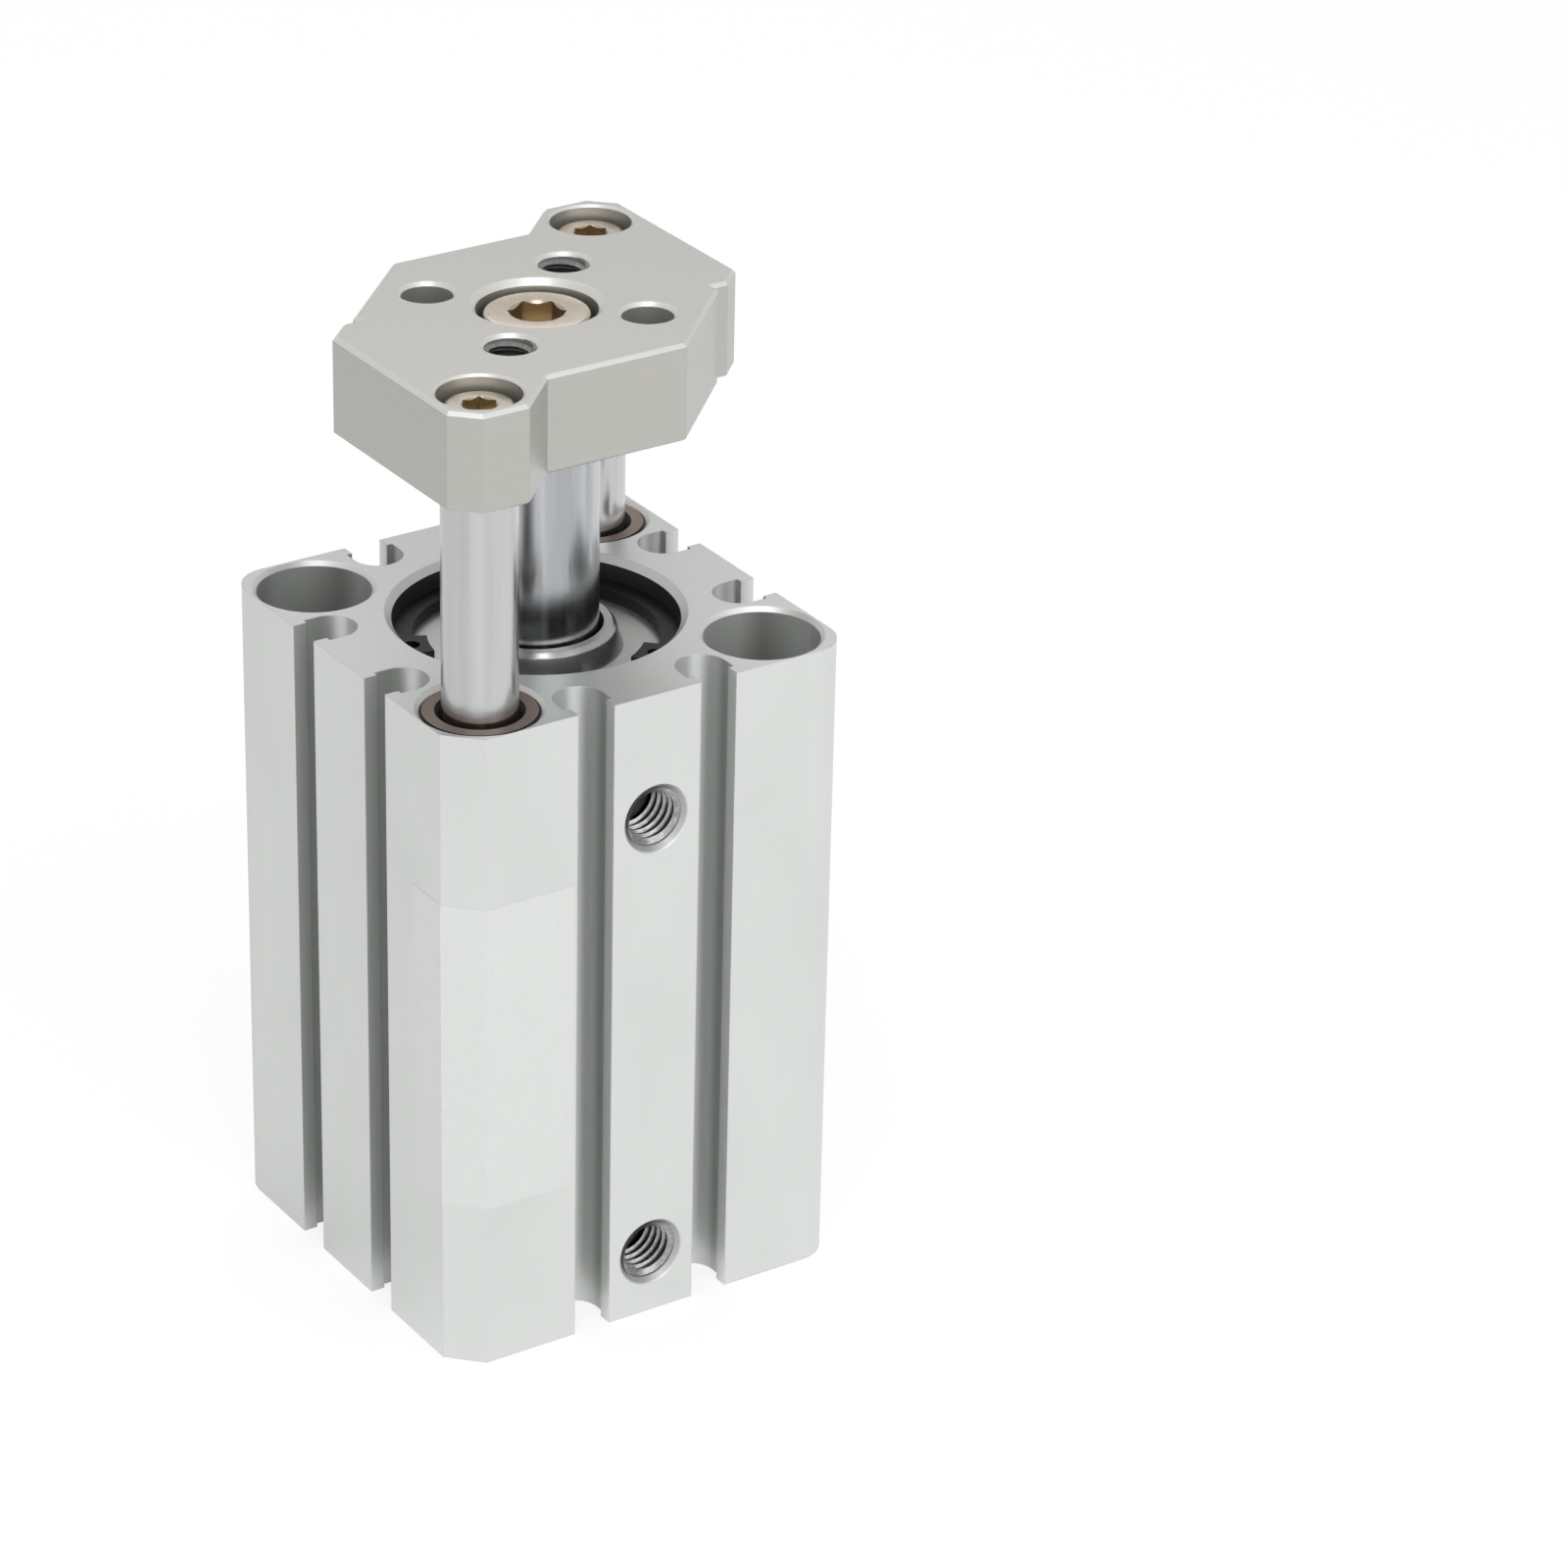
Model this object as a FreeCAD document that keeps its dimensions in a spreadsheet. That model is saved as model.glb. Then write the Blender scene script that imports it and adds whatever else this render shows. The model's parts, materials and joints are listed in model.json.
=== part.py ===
import FreeCAD, Part

# Guided pneumatic cylinder: a square barrel, and an end plate that two guide rods keep from turning.
# Millimetres. +Z runs along the piston rod, out of the barrel, and the origin is the centre of the
# barrel's lower end. The port face looks along -Y. The guide rods stand in the corners (-,-) and
# (+,+) and the mounting holes in the other two.

import os
import re

import Sketcher
from FreeCAD import Vector

# name, value in millimetres or degrees, what it is
SIZES = (
    ("barrel_wall", 8.0, "thickness of the barrel between its bore and the middle of a side"),
    ("guide_corner_chamfer", 2.55, "leg of the chamfer on the two corners beside the guide rods"),
    ("mount_corner_radius", 3.1, "radius of the two corners round the mounting holes"),
    ("piston_bore_radius", 10.0, "bore that the piston runs in"),
    ("cover_bore_step", 1.5, "how much wider the bore is where the rod cover seats"),
    ("cover_bore_chamfer", 0.55, "chamfer at the mouth of the cover's bore"),
    ("groove_offset", 5.575, "sensor groove's distance from the middle of its face"),
    ("groove_mouth", 3.25, "width of a sensor groove's mouth"),
    ("groove_lip", 1.2, "thickness of the lips at the mouth"),
    ("groove_cavity", 4.2, "width of the round cavity behind the lips"),
    ("groove_depth", 4.6, "depth of a sensor groove from its face"),
    ("mount_inset", 5.1, "mounting hole's distance from the barrel's sides"),
    ("mount_hole_radius", 2.7, "through hole for an M5 bolt"),
    ("mount_counterbore_radius", 4.65, "counterbore for the head of an M5 bolt"),
    ("mount_counterbore_depth", 7.0, "depth of the counterbore at each end"),
    ("mount_counterbore_chamfer", 0.35, "chamfer at a counterbore's mouth"),
    ("port_radius", 2.5, "M5 port, at the thread's major diameter"),
    ("port_depth", 5.0, "threaded depth of a port"),
    ("port_chamfer", 0.45, "countersink at a port's mouth"),
    ("port_passage_radius", 0.9, "drilling from a port into the bore"),
    ("head_port_offset", 0.95, "head port's height above the head plate"),
    ("rod_port_offset", 2.05, "rod port's depth below the cover's seat"),
    ("head_plate_recess", 0.5, "head plate's depth inside the barrel's lower end"),
    ("head_plate_thickness", 4.0, "thickness of the head plate"),
    ("head_plate_step", 1.0, "how much wider the bore is where the head plate seats"),
    ("head_plate_chamfer", 0.4, "chamfer round the head plate's outer face"),
    ("bumper_thickness", 1.6, "thickness of a bumper ring"),
    ("bumper_stand", 0.8, "how far a bumper stands out of its recess"),
    ("bumper_rod_room", 0.6, "room between the rod and a bumper ring"),
    ("bumper_width", 2.2, "radial width of a bumper ring"),
    ("bumper_edge", 0.3, "chamfer on a bumper's edges"),
    ("stop_gap", 0.3, "piston's distance from a bumper at the end of the stroke"),
    ("stroke", 25.0, "travel of the piston"),
    ("shown_extension", 13.6, "how far out of its lower stop the piston stands"),
    ("piston_clearance", 0.1, "radial clearance of the piston in its bore"),
    ("piston_chamfer", 0.6, "chamfer on the piston's edges"),
    ("wear_ring_height", 2.0, "width of the wear ring"),
    ("wear_ring_thickness", 0.8, "radial thickness of the wear ring"),
    ("piston_foot", 1.5, "piston below its wear ring"),
    ("piston_land", 1.1, "piston above each of its three rings"),
    ("wear_ring_slot", 1.2, "gap between the wear ring's ends"),
    ("magnet_height", 3.2, "width of the magnet ring"),
    ("magnet_thickness", 2.2, "radial thickness of the magnet ring"),
    ("magnet_clearance", 0.25, "how far the magnet stays inside the piston's rim"),
    ("piston_seal_height", 2.3, "width of the piston seal"),
    ("piston_seal_thickness", 2.2, "radial thickness of the piston seal"),
    ("running_clearance", 0.03, "radial clearance of whatever slides"),
    ("rod_radius", 5.0, "radius of the piston rod"),
    ("rod_spigot_radius", 3.0, "radius of the rod's stepped end inside the piston"),
    ("rod_flare", 0.9, "flare of the rod's riveted end"),
    ("rod_chamfer", 0.3, "chamfer on the piston rod's upper end"),
    ("cover_flange_length", 5.7, "length of the rod cover above its seat"),
    ("cover_clearance", 0.05, "radial clearance of the rod cover in its bore"),
    ("cover_nose_wall", 0.7, "thickness of the cover's nose outside its bumper"),
    ("cover_nose_length", 2.8, "length of the nose below the seat"),
    ("cover_boss_wall", 1.4, "thickness of the boss round the rod"),
    ("cover_boss_flare", 0.5, "how much wider the boss is where it meets the flange"),
    ("cover_boss_height", 2.05, "height of the boss above the flange"),
    ("cover_boss_chamfer", 0.35, "chamfer on the boss"),
    ("cover_lip_gap", 0.35, "radial gap round the rod at the boss's mouth"),
    ("cover_chamfer", 0.3, "chamfer on the flange's edges"),
    ("cover_oring_height", 1.7, "width of the groove for the cover's O-ring"),
    ("cover_oring_thickness", 1.1, "squeezed thickness of the cover's O-ring"),
    ("cover_oring_place", 1.8, "O-ring groove's height above the seat"),
    ("rod_seal_width", 2.2, "radial width of the rod seal"),
    ("rod_seal_height", 3.2, "height of the rod seal's pocket"),
    ("rod_seal_depth", 1.2, "rod seal's depth below the flange's top"),
    ("seal_lip", 0.7, "thickness of a seal's lip"),
    ("seal_root", 1.0, "height of a seal's solid root"),
    ("ring_thickness", 1.0, "thickness of the retaining ring"),
    ("ring_depth", 2.0, "retaining ring's depth below the barrel's upper end"),
    ("ring_groove_depth", 0.55, "radial depth of the retaining ring's groove"),
    ("ring_clearance", 0.05, "clearance of the retaining ring at its groove's floor"),
    ("ring_width", 2.1, "radial width of the retaining ring"),
    ("ring_ear_depth", 1.2, "how far the ring's two ears stand inwards"),
    ("ring_ear_angle", 19.0, "angle that each ear covers"),
    ("ring_gap_angle", 126.0, "angle between the two ears"),
    ("ring_gap_turn", -125.3, "direction of the ring's gap"),
    ("ring_eye_radius", 0.65, "hole for the pliers in each ear"),
    ("head_oring_height", 1.5, "width of the groove for the head plate's O-ring"),
    ("head_oring_thickness", 0.95, "squeezed thickness of the head plate's O-ring"),
    ("oring_edge", 0.35, "chamfer that stands for the rounding of a squeezed O-ring"),
    ("oring_side_gap", 0.15, "room beside an O-ring in its groove"),
    ("guide_inset", 5.1, "guide rod's distance from the barrel's sides"),
    ("guide_rod_radius", 3.0, "radius of a guide rod"),
    ("guide_rod_tail", 1.8, "guide rod left below its bushes when the piston rod is out"),
    ("guide_rod_chamfer", 0.6, "chamfer on a guide rod's lower end"),
    ("guide_clearance", 0.5, "radial room round a guide rod below its bushes"),
    ("bush_wall", 1.7, "thickness of a guide bush"),
    ("bush_length", 10.0, "length of a guide bush"),
    ("bush_recess", 0.2, "upper bush's depth below the barrel's end"),
    ("bush_spacing", 7.0, "room between the two bushes of a rod"),
    ("bush_mouth_chamfer", 0.5, "chamfer in the bore of a bush"),
    ("bush_rim_chamfer", 0.2, "chamfer round a bush"),
    ("bush_seat_chamfer", 0.35, "chamfer at the mouth of the hole that takes a bush"),
    ("plate_inset", 1.0, "how far the end plate's sides stand inside the barrel's"),
    ("plate_thickness", 8.0, "thickness of the end plate"),
    ("plate_gap", 4.5, "end plate's distance from the barrel when the rod is in"),
    ("plate_corner_chamfer", 2.0, "leg of the chamfers on the end plate's corners"),
    ("plate_waist_step", 4.0, "how far the end plate's waist stands inside its arms"),
    ("plate_arm", 6.0, "length of the arm round a guide rod, along the plate's side"),
    ("plate_bolt_room", 5.23, "distance of the facet that clears a mounting bolt from the bolt's axis"),
    ("plate_notch_depth", 3.4, "depth of the notch beside that facet"),
    ("plate_shoulder", 13.0, "notch's distance from the far end of its side"),
    ("plate_edge_chamfer", 0.3, "chamfer round the end plate's upper face"),
    ("plate_lower_chamfer", 0.15, "broken edge round the end plate's lower face"),
    ("plate_hole_offset", 6.2, "distance of the plate's four holes from the axis, along X and Y"),
    ("plate_thread_radius", 2.0, "M4 hole, at the thread's major diameter"),
    ("plate_plain_radius", 2.05, "plain hole in the end plate"),
    ("plate_hole_chamfer", 0.3, "chamfer at the mouths of the four holes"),
    ("rod_screw_mouth", 0.5, "chamfer at the mouth of the rod screw's counterbore"),
    ("guide_screw_mouth", 0.2, "chamfer at the mouth of a guide rod screw's counterbore"),
    ("screw_clearance", 0.25, "radial clearance of a screw in the plate"),
    ("screw_head_room", 0.55, "radial clearance of a screw's head in its counterbore"),
    ("screw_end_room", 2.0, "room past a screw's end in its tapped hole"),
    ("drill_tip", 0.9, "depth of the cone at the end of a drilled hole"),
    ("rod_screw_radius", 2.5, "M5 thread of the piston rod's screw"),
    ("rod_screw_head_radius", 4.25, "radius of its head"),
    ("rod_screw_head_height", 5.0, "height of its head"),
    ("rod_screw_length", 12.0, "length under its head"),
    ("rod_screw_hex", 4.0, "its key size across flats"),
    ("rod_screw_hex_depth", 2.6, "depth of its socket"),
    ("rod_screw_sink", 0.7, "head's depth below the end plate's upper face"),
    ("guide_screw_radius", 1.5, "M3 thread of a guide rod's screw"),
    ("guide_screw_head_radius", 2.75, "radius of its head"),
    ("guide_screw_head_height", 3.0, "height of its head"),
    ("guide_screw_length", 10.0, "length under its head"),
    ("guide_screw_hex", 2.5, "its key size across flats"),
    ("guide_screw_hex_depth", 1.7, "depth of its socket"),
    ("guide_screw_sink", 1.0, "head's depth below the end plate's upper face"),
    ("screw_head_chamfer", 0.35, "chamfer round a screw's head"),
    ("screw_socket_chamfer", 0.25, "chamfer at a socket's mouth"),
    ("screw_hex_turn", 28.5, "how far the rod screw's socket is turned"),
)

ALIASES = {name for name, _, _ in SIZES}
WORD = re.compile(r"[a-z][a-z_]*")

# The piston's three rings, each above a land, and the piston's length.
MAGNET_PLACE = "(piston_foot + wear_ring_height + piston_land)"
PISTON_SEAL_PLACE = f"({MAGNET_PLACE} + magnet_height + piston_land)"
PISTON_LENGTH = f"({PISTON_SEAL_PLACE} + piston_seal_height + piston_land)"

# Heights along the axis, each from the sizes of the pieces stacked below it.
HEAD_FACE = "(head_plate_recess + head_plate_thickness)"
PISTON_IN = f"({HEAD_FACE} + bumper_stand + stop_gap)"
PISTON = f"({PISTON_IN} + shown_extension)"
SEAT = f"({PISTON_IN} + {PISTON_LENGTH} + stroke + stop_gap + bumper_stand + cover_nose_length)"
RING = f"({SEAT} + cover_flange_length)"
TOP = f"({RING} + ring_thickness + ring_depth)"
PLATE = f"({TOP} + plate_gap + shown_extension)"
UPPER_BUSH = f"({TOP} - bush_recess - bush_length)"
LOWER_BUSH = f"({UPPER_BUSH} - bush_spacing - bush_length)"
GUIDE_ROD_END = f"({LOWER_BUSH} - guide_rod_tail - (stroke - shown_extension) - {PLATE})"

# What is left of the end plate under each screw's head.
ROD_WEB = "(plate_thickness - rod_screw_sink - rod_screw_head_height)"
GUIDE_WEB = "(plate_thickness - guide_screw_sink - guide_screw_head_height)"

# Places and radii that more than one piece uses.
HALF = "(piston_bore_radius + barrel_wall)"
COVER_BORE = "(piston_bore_radius + cover_bore_step)"
HEAD_PLATE_RADIUS = "(piston_bore_radius + head_plate_step)"
PISTON_RADIUS = "(piston_bore_radius - piston_clearance)"
SLIDE_RADIUS = "(piston_bore_radius - running_clearance)"
ROD_HOLE = "(rod_radius + running_clearance)"
COVER_RADIUS = f"({COVER_BORE} - cover_clearance)"
BUMPER_IN = "(rod_radius + bumper_rod_room)"
BUMPER_OUT = f"({BUMPER_IN} + bumper_width)"
SEAL_OUT = "(rod_radius + rod_seal_width)"
BUSH_RADIUS = "(guide_rod_radius + bush_wall)"
GUIDE = f"({HALF} - guide_inset)"
MOUNT = f"({HALF} - mount_inset)"
GUIDE_CORNERS = (("front", f"(-{GUIDE})", f"(-{GUIDE})"), ("back", GUIDE, GUIDE))
MOUNT_CORNERS = ((MOUNT, f"(-{MOUNT})"), (f"(-{MOUNT})", MOUNT))

# Lengths closer than this are the same, and a cut of less volume than this is no cut.
SAME_LENGTH = 1e-4
NO_CUT = 1e-3

# Angles in degrees, and how many faces carry sensor grooves.
THIRD_TURN = 120
SIXTH_TURN = 60
RIGHT_ANGLE = 90
FULL_TURN = 360
FACES = 4

doc = FreeCAD.newDocument("guided_cylinder")
sheet = doc.addObject("Spreadsheet::Sheet", "Sizes")
pieces = []


def fill_sheet():
    """Write each size into the sheet: its name, its value with an alias, and what it is."""
    for row, (name, value, meaning) in enumerate(SIZES, start=1):
        sheet.set(f"A{row}", name)
        sheet.set(f"B{row}", str(value))
        sheet.set(f"C{row}", meaning)
        sheet.setAlias(f"B{row}", name)
    doc.recompute()


def formula(text):
    """Point every size named in a formula at the sheet."""
    return WORD.sub(lambda word: f"Sizes.{word[0]}" if word[0] in ALIASES else word[0], text)


def number(text):
    """The value that a formula has now."""
    return float(sheet.evalExpression(formula(text)))


# ---- sketches ----

def piece(label, x="0", y="0", z="0", turn="0"):
    """A body for one sub-part, with its place bound to the sheet."""
    body = doc.addObject("PartDesign::Body", label)
    body.Label = label
    for axis, place in zip("xyz", (x, y, z)):
        body.setExpression(f"Placement.Base.{axis}", formula(place))
    body.setExpression("Placement.Rotation.Angle", formula(turn))
    pieces.append(body)
    return body


def sketch_on(body, name, role, lift="0"):
    """A sketch on one of the body's own origin planes, lifted along the plane's normal."""
    sketch = body.newObject("Sketcher::SketchObject", name)
    planes = {feature.Role: feature for feature in body.Origin.OriginFeatures}
    sketch.AttachmentSupport = [(planes[role], "")]
    sketch.MapMode = "FlatFace"
    sketch.setExpression("AttachmentOffset.Base.z", formula(lift))
    return sketch


def hold(sketch, kind, geometry, place, text):
    """Constrain one end of one element to a formula."""
    start = (-1, 1, geometry, place) if kind.startswith("Distance") else (geometry,)
    index = sketch.addConstraint(Sketcher.Constraint(kind, *start, number(text)))
    name = f"size{index}"
    sketch.renameConstraint(index, name)
    sketch.setExpression(f"Constraints.{name}", formula(text))


def arc_between(start, end, radius, side):
    """A short arc from start to end, its centre on the left or right of the way."""
    chord = end - start
    half = chord.Length / 2
    rise = max(radius**2 - half**2, 0.0) ** 0.5
    left = Vector(-chord.y, chord.x, 0) / chord.Length
    sign = 1 if side == "left" else -1
    centre = (start + end) / 2 + left * (rise * sign)
    first, last = (start, end) if side == "left" else (end, start)
    circle = Part.Circle(centre, Vector(0, 0, 1), radius)
    end_angle = circle.parameter(last) + full_turn(circle, first, last)
    return Part.ArcOfCircle(circle, circle.parameter(first), end_angle)


def full_turn(circle, first, last):
    """One turn where an arc passes the angle at which a circle starts, otherwise nothing."""
    return 0.0 if circle.parameter(last) > circle.parameter(first) else circle.LastParameter


def outline(sketch, steps):
    """A closed profile through the steps: (x, y) ends a straight side, (x, y, radius, side) an arc."""
    points = [Vector(number(step[0]), number(step[1]), 0) for step in steps]
    elements = []
    for index, step in enumerate(steps):
        start, end = points[index - 1], points[index]
        if len(step) == 2:
            elements.append((sketch.addGeometry(Part.LineSegment(start, end)), 1, 2))
            continue
        curve = sketch.addGeometry(arc_between(start, end, number(step[2]), step[3]))
        elements.append((curve, 1, 2) if step[3] == "left" else (curve, 2, 1))
    for index, (geometry, _, last) in enumerate(elements):
        following, first, _ = elements[(index + 1) % len(elements)]
        sketch.addConstraint(Sketcher.Constraint("Coincident", geometry, last, following, first))
        hold(sketch, "DistanceX", geometry, last, steps[index][0])
        hold(sketch, "DistanceY", geometry, last, steps[index][1])
        if len(steps[index]) > 2:
            hold(sketch, "Radius", geometry, last, steps[index][2])


def circle(sketch, x, y, radius):
    """A circle bound to the sheet."""
    centre = Vector(number(x), number(y), 0)
    geometry = sketch.addGeometry(Part.Circle(centre, Vector(0, 0, 1), number(radius)))
    hold(sketch, "DistanceX", geometry, 3, x)
    hold(sketch, "DistanceY", geometry, 3, y)
    hold(sketch, "Radius", geometry, 3, radius)


def circles_at(body, name, places, radius, lift):
    """A level sketch at a height, with one circle at each place."""
    sketch = sketch_on(body, name, "XY_Plane", lift)
    for x, y in places:
        circle(sketch, x, y, radius)
    return sketch


def ring_section(inner, outer, low, high, edge):
    """The section of a ring whose four edges are chamfered."""
    return (
        (f"{outer} - {edge}", low),
        (outer, f"{low} + {edge}"),
        (outer, f"{high} - {edge}"),
        (f"{outer} - {edge}", high),
        (f"{inner} + {edge}", high),
        (inner, f"{high} - {edge}"),
        (inner, f"{low} + {edge}"),
        (f"{inner} + {edge}", low),
    )


# ---- features ----

def feature(body, kind, name, profile, **settings):
    """A feature made from a sketch; a setting given as text is a formula."""
    made = body.newObject(kind, name)
    made.Profile = profile
    for key, value in settings.items():
        if isinstance(value, str) and key not in ("Type", "DepthType", "HoleCutType", "DrillPoint"):
            made.setExpression(key, formula(value))
        else:
            setattr(made, key, value)
    profile.Visibility = False
    return made


def countersunk_holes(body, name, sketch, radius, depth, mouth, **settings):
    """Holes on the circles of a sketch, each with a right-angled countersink; no depth means through."""
    doc.recompute()
    if depth is None:
        settings["DepthType"] = "ThroughAll"
    else:
        settings["Depth"] = depth
    return removes(feature(body, "PartDesign::Hole", name, sketch, Diameter=f"2 * {radius}",
                           HoleCutType="Countersink", HoleCutDiameter=f"2 * ({radius} + {mouth})",
                           HoleCutCountersinkAngle=RIGHT_ANGLE, **settings))


def removes(made):
    """Stop if a feature that should cut leaves the solid as it was."""
    doc.recompute()
    before = made.BaseFeature.Shape.Volume
    if made.Shape.Volume > before - NO_CUT:
        raise RuntimeError(f"{made.Label} cuts nothing")
    return made


def turned(label, profile, **place):
    """A body made by turning one profile, given as radius and height, round its own axis."""
    body = piece(label, **place)
    sketch = sketch_on(body, f"{label}_profile", "XZ_Plane")
    outline(sketch, profile)
    feature(body, "PartDesign::Revolution", f"{label}_turning", sketch,
            ReferenceAxis=(sketch, ["V_Axis"]), Angle=FULL_TURN)
    return body


def bevel(body, name, size, chosen):
    """A chamfer on the edges of the body's last feature that the test chooses."""
    doc.recompute()
    base = body.Tip
    names = [f"Edge{index}" for index, edge in enumerate(base.Shape.Edges, start=1) if chosen(edge)]
    if not names:
        raise RuntimeError(f"{name} finds no edge")
    made = body.newObject("PartDesign::Chamfer", name)
    made.Base = (base, names)
    made.setExpression("Size", formula(size))
    return removes(made)


def at_height(edge, height):
    """Whether a whole edge lies at one height of its body."""
    return abs(edge.BoundBox.ZMin - height) < SAME_LENGTH and abs(edge.BoundBox.ZMax - height) < SAME_LENGTH


# ---- barrel ----

def groove_steps(side):
    """A keyhole sensor groove in the front face: a mouth between two lips, and a round cavity behind."""
    centre = f"{side}groove_offset"
    face = f"-{HALF}"
    lip = f"(groove_lip - {HALF})"
    floor = f"(groove_depth - {HALF})"
    bend = f"({floor} - groove_cavity / 2)"
    return (
        (f"{centre} + groove_mouth / 2", face),
        (f"{centre} + groove_mouth / 2", lip),
        (f"{centre} + groove_cavity / 2", lip),
        (f"{centre} + groove_cavity / 2", bend),
        (centre, floor, "groove_cavity / 2", "left"),
        (f"{centre} - groove_cavity / 2", bend, "groove_cavity / 2", "left"),
        (f"{centre} - groove_cavity / 2", lip),
        (f"{centre} - groove_mouth / 2", lip),
        (f"{centre} - groove_mouth / 2", face),
    )


def make_cylinder_body():
    """The extruded barrel: stepped bore, guide holes, mounting holes, ports and eight sensor grooves."""
    body = piece("cylinder_body")
    section = sketch_on(body, "barrel_section", "XY_Plane")
    outline(section, (
        (f"{HALF} - mount_corner_radius", f"-{HALF}"),
        (HALF, f"mount_corner_radius - {HALF}", "mount_corner_radius", "left"),
        (HALF, f"{HALF} - guide_corner_chamfer"),
        (f"{HALF} - guide_corner_chamfer", HALF),
        (f"mount_corner_radius - {HALF}", HALF),
        (f"-{HALF}", f"{HALF} - mount_corner_radius", "mount_corner_radius", "left"),
        (f"-{HALF}", f"guide_corner_chamfer - {HALF}"),
        (f"guide_corner_chamfer - {HALF}", f"-{HALF}"),
    ))
    feature(body, "PartDesign::Pad", "barrel_block", section, Length=TOP)

    bore = sketch_on(body, "bore_profile", "XZ_Plane")
    outline(bore, (
        (HEAD_PLATE_RADIUS, "0"),
        (HEAD_PLATE_RADIUS, HEAD_FACE),
        ("piston_bore_radius", HEAD_FACE),
        ("piston_bore_radius", SEAT),
        (COVER_BORE, SEAT),
        (COVER_BORE, RING),
        (f"{COVER_BORE} + ring_groove_depth", RING),
        (f"{COVER_BORE} + ring_groove_depth", f"{RING} + ring_thickness"),
        (COVER_BORE, f"{RING} + ring_thickness"),
        (COVER_BORE, f"{TOP} - cover_bore_chamfer"),
        (f"{COVER_BORE} + cover_bore_chamfer", TOP),
        ("0", TOP),
        ("0", "0"),
    ))
    removes(feature(body, "PartDesign::Groove", "bore", bore,
                    ReferenceAxis=(bore, ["V_Axis"]), Angle=FULL_TURN))

    make_guide_holes(body)
    make_mounting_holes(body)
    make_sensor_grooves(body)
    make_ports(body)


def make_guide_holes(body):
    """Two holes for the guide rods, wider where their bushes sit."""
    corners = [(x, y) for _, x, y in GUIDE_CORNERS]
    rods = circles_at(body, "guide_hole_circles", corners, "guide_rod_radius + guide_clearance", TOP)
    removes(feature(body, "PartDesign::Pocket", "guide_holes", rods, Type="ThroughAll"))
    seats = circles_at(body, "bush_seat_circles", corners, BUSH_RADIUS, TOP)
    countersunk_holes(body, "bush_seats", seats, BUSH_RADIUS, f"{TOP} - {LOWER_BUSH}", "bush_seat_chamfer",
                      DrillPoint="Flat")


def make_mounting_holes(body):
    """Two through holes with a chamfered counterbore at each end."""
    bolts = circles_at(body, "mounting_hole_circles", MOUNT_CORNERS, "mount_hole_radius", TOP)
    removes(feature(body, "PartDesign::Pocket", "mounting_holes", bolts, Type="ThroughAll"))
    for end, lift, reversed_cut in (("upper", TOP, False), ("lower", "0", True)):
        heads = circles_at(body, f"{end}_counterbore_circles", MOUNT_CORNERS,
                           "mount_counterbore_radius", lift)
        countersunk_holes(body, f"{end}_counterbores", heads, "mount_counterbore_radius",
                          "mount_counterbore_depth", "mount_counterbore_chamfer",
                          DrillPoint="Flat", Reversed=reversed_cut)


def make_sensor_grooves(body):
    """A pair of keyhole grooves cut the whole length of one face, repeated on all four."""
    profile = sketch_on(body, "sensor_groove_profile", "XY_Plane", TOP)
    for side in ("", "-"):
        outline(profile, groove_steps(side))
    pair = removes(feature(body, "PartDesign::Pocket", "sensor_groove_pair", profile, Type="ThroughAll"))
    pattern = body.newObject("PartDesign::PolarPattern", "sensor_grooves")
    pattern.Originals = [pair]
    pattern.Axis = (profile, ["N_Axis"])
    pattern.Angle = FULL_TURN
    pattern.Occurrences = FACES
    body.Tip = pattern
    doc.recompute()
    if pattern.Shape.Volume > pair.Shape.Volume - NO_CUT:
        raise RuntimeError("the sensor grooves are not repeated")


def make_ports(body):
    """Two threaded ports in the front face, each drilled through to its end of the bore."""
    heights = {"head": f"{HEAD_FACE} + head_port_offset", "rod": f"{SEAT} - rod_port_offset"}
    for end, height in heights.items():
        threads = sketch_on(body, f"{end}_port_centre", "XZ_Plane", HALF)
        circle(threads, "0", height, "port_radius")
        countersunk_holes(body, f"{end}_port", threads, "port_radius", "port_depth", "port_chamfer",
                          DrillPoint="Angled")
        drilling = sketch_on(body, f"{end}_passage_circle", "XZ_Plane", HALF)
        circle(drilling, "0", height, "port_passage_radius")
        removes(feature(body, "PartDesign::Pocket", f"{end}_passage", drilling, Length=HALF))


# ---- what the barrel holds ----

def make_head_plate():
    """The disc that closes the lower end, with a groove for its O-ring and a recess for a bumper."""
    groove_floor = f"({HEAD_PLATE_RADIUS} - head_oring_thickness)"
    groove_low = "(head_plate_thickness - head_oring_height) / 2"
    groove_high = "(head_plate_thickness + head_oring_height) / 2"
    recess = "head_plate_thickness - (bumper_thickness - bumper_stand)"
    turned("head_plate", (
        (f"{HEAD_PLATE_RADIUS} - head_plate_chamfer", "0"),
        (HEAD_PLATE_RADIUS, "head_plate_chamfer"),
        (HEAD_PLATE_RADIUS, groove_low),
        (groove_floor, groove_low),
        (groove_floor, groove_high),
        (HEAD_PLATE_RADIUS, groove_high),
        (HEAD_PLATE_RADIUS, "head_plate_thickness"),
        (BUMPER_OUT, "head_plate_thickness"),
        (BUMPER_OUT, recess),
        (BUMPER_IN, recess),
        (BUMPER_IN, "head_plate_thickness"),
        ("0", "head_plate_thickness"),
        ("0", "0"),
    ), z="head_plate_recess")
    turned("head_plate_oring", ring_section(
        groove_floor, HEAD_PLATE_RADIUS,
        f"({groove_low} + oring_side_gap)", f"({groove_high} - oring_side_gap)", "oring_edge",
    ), z="head_plate_recess")


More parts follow.
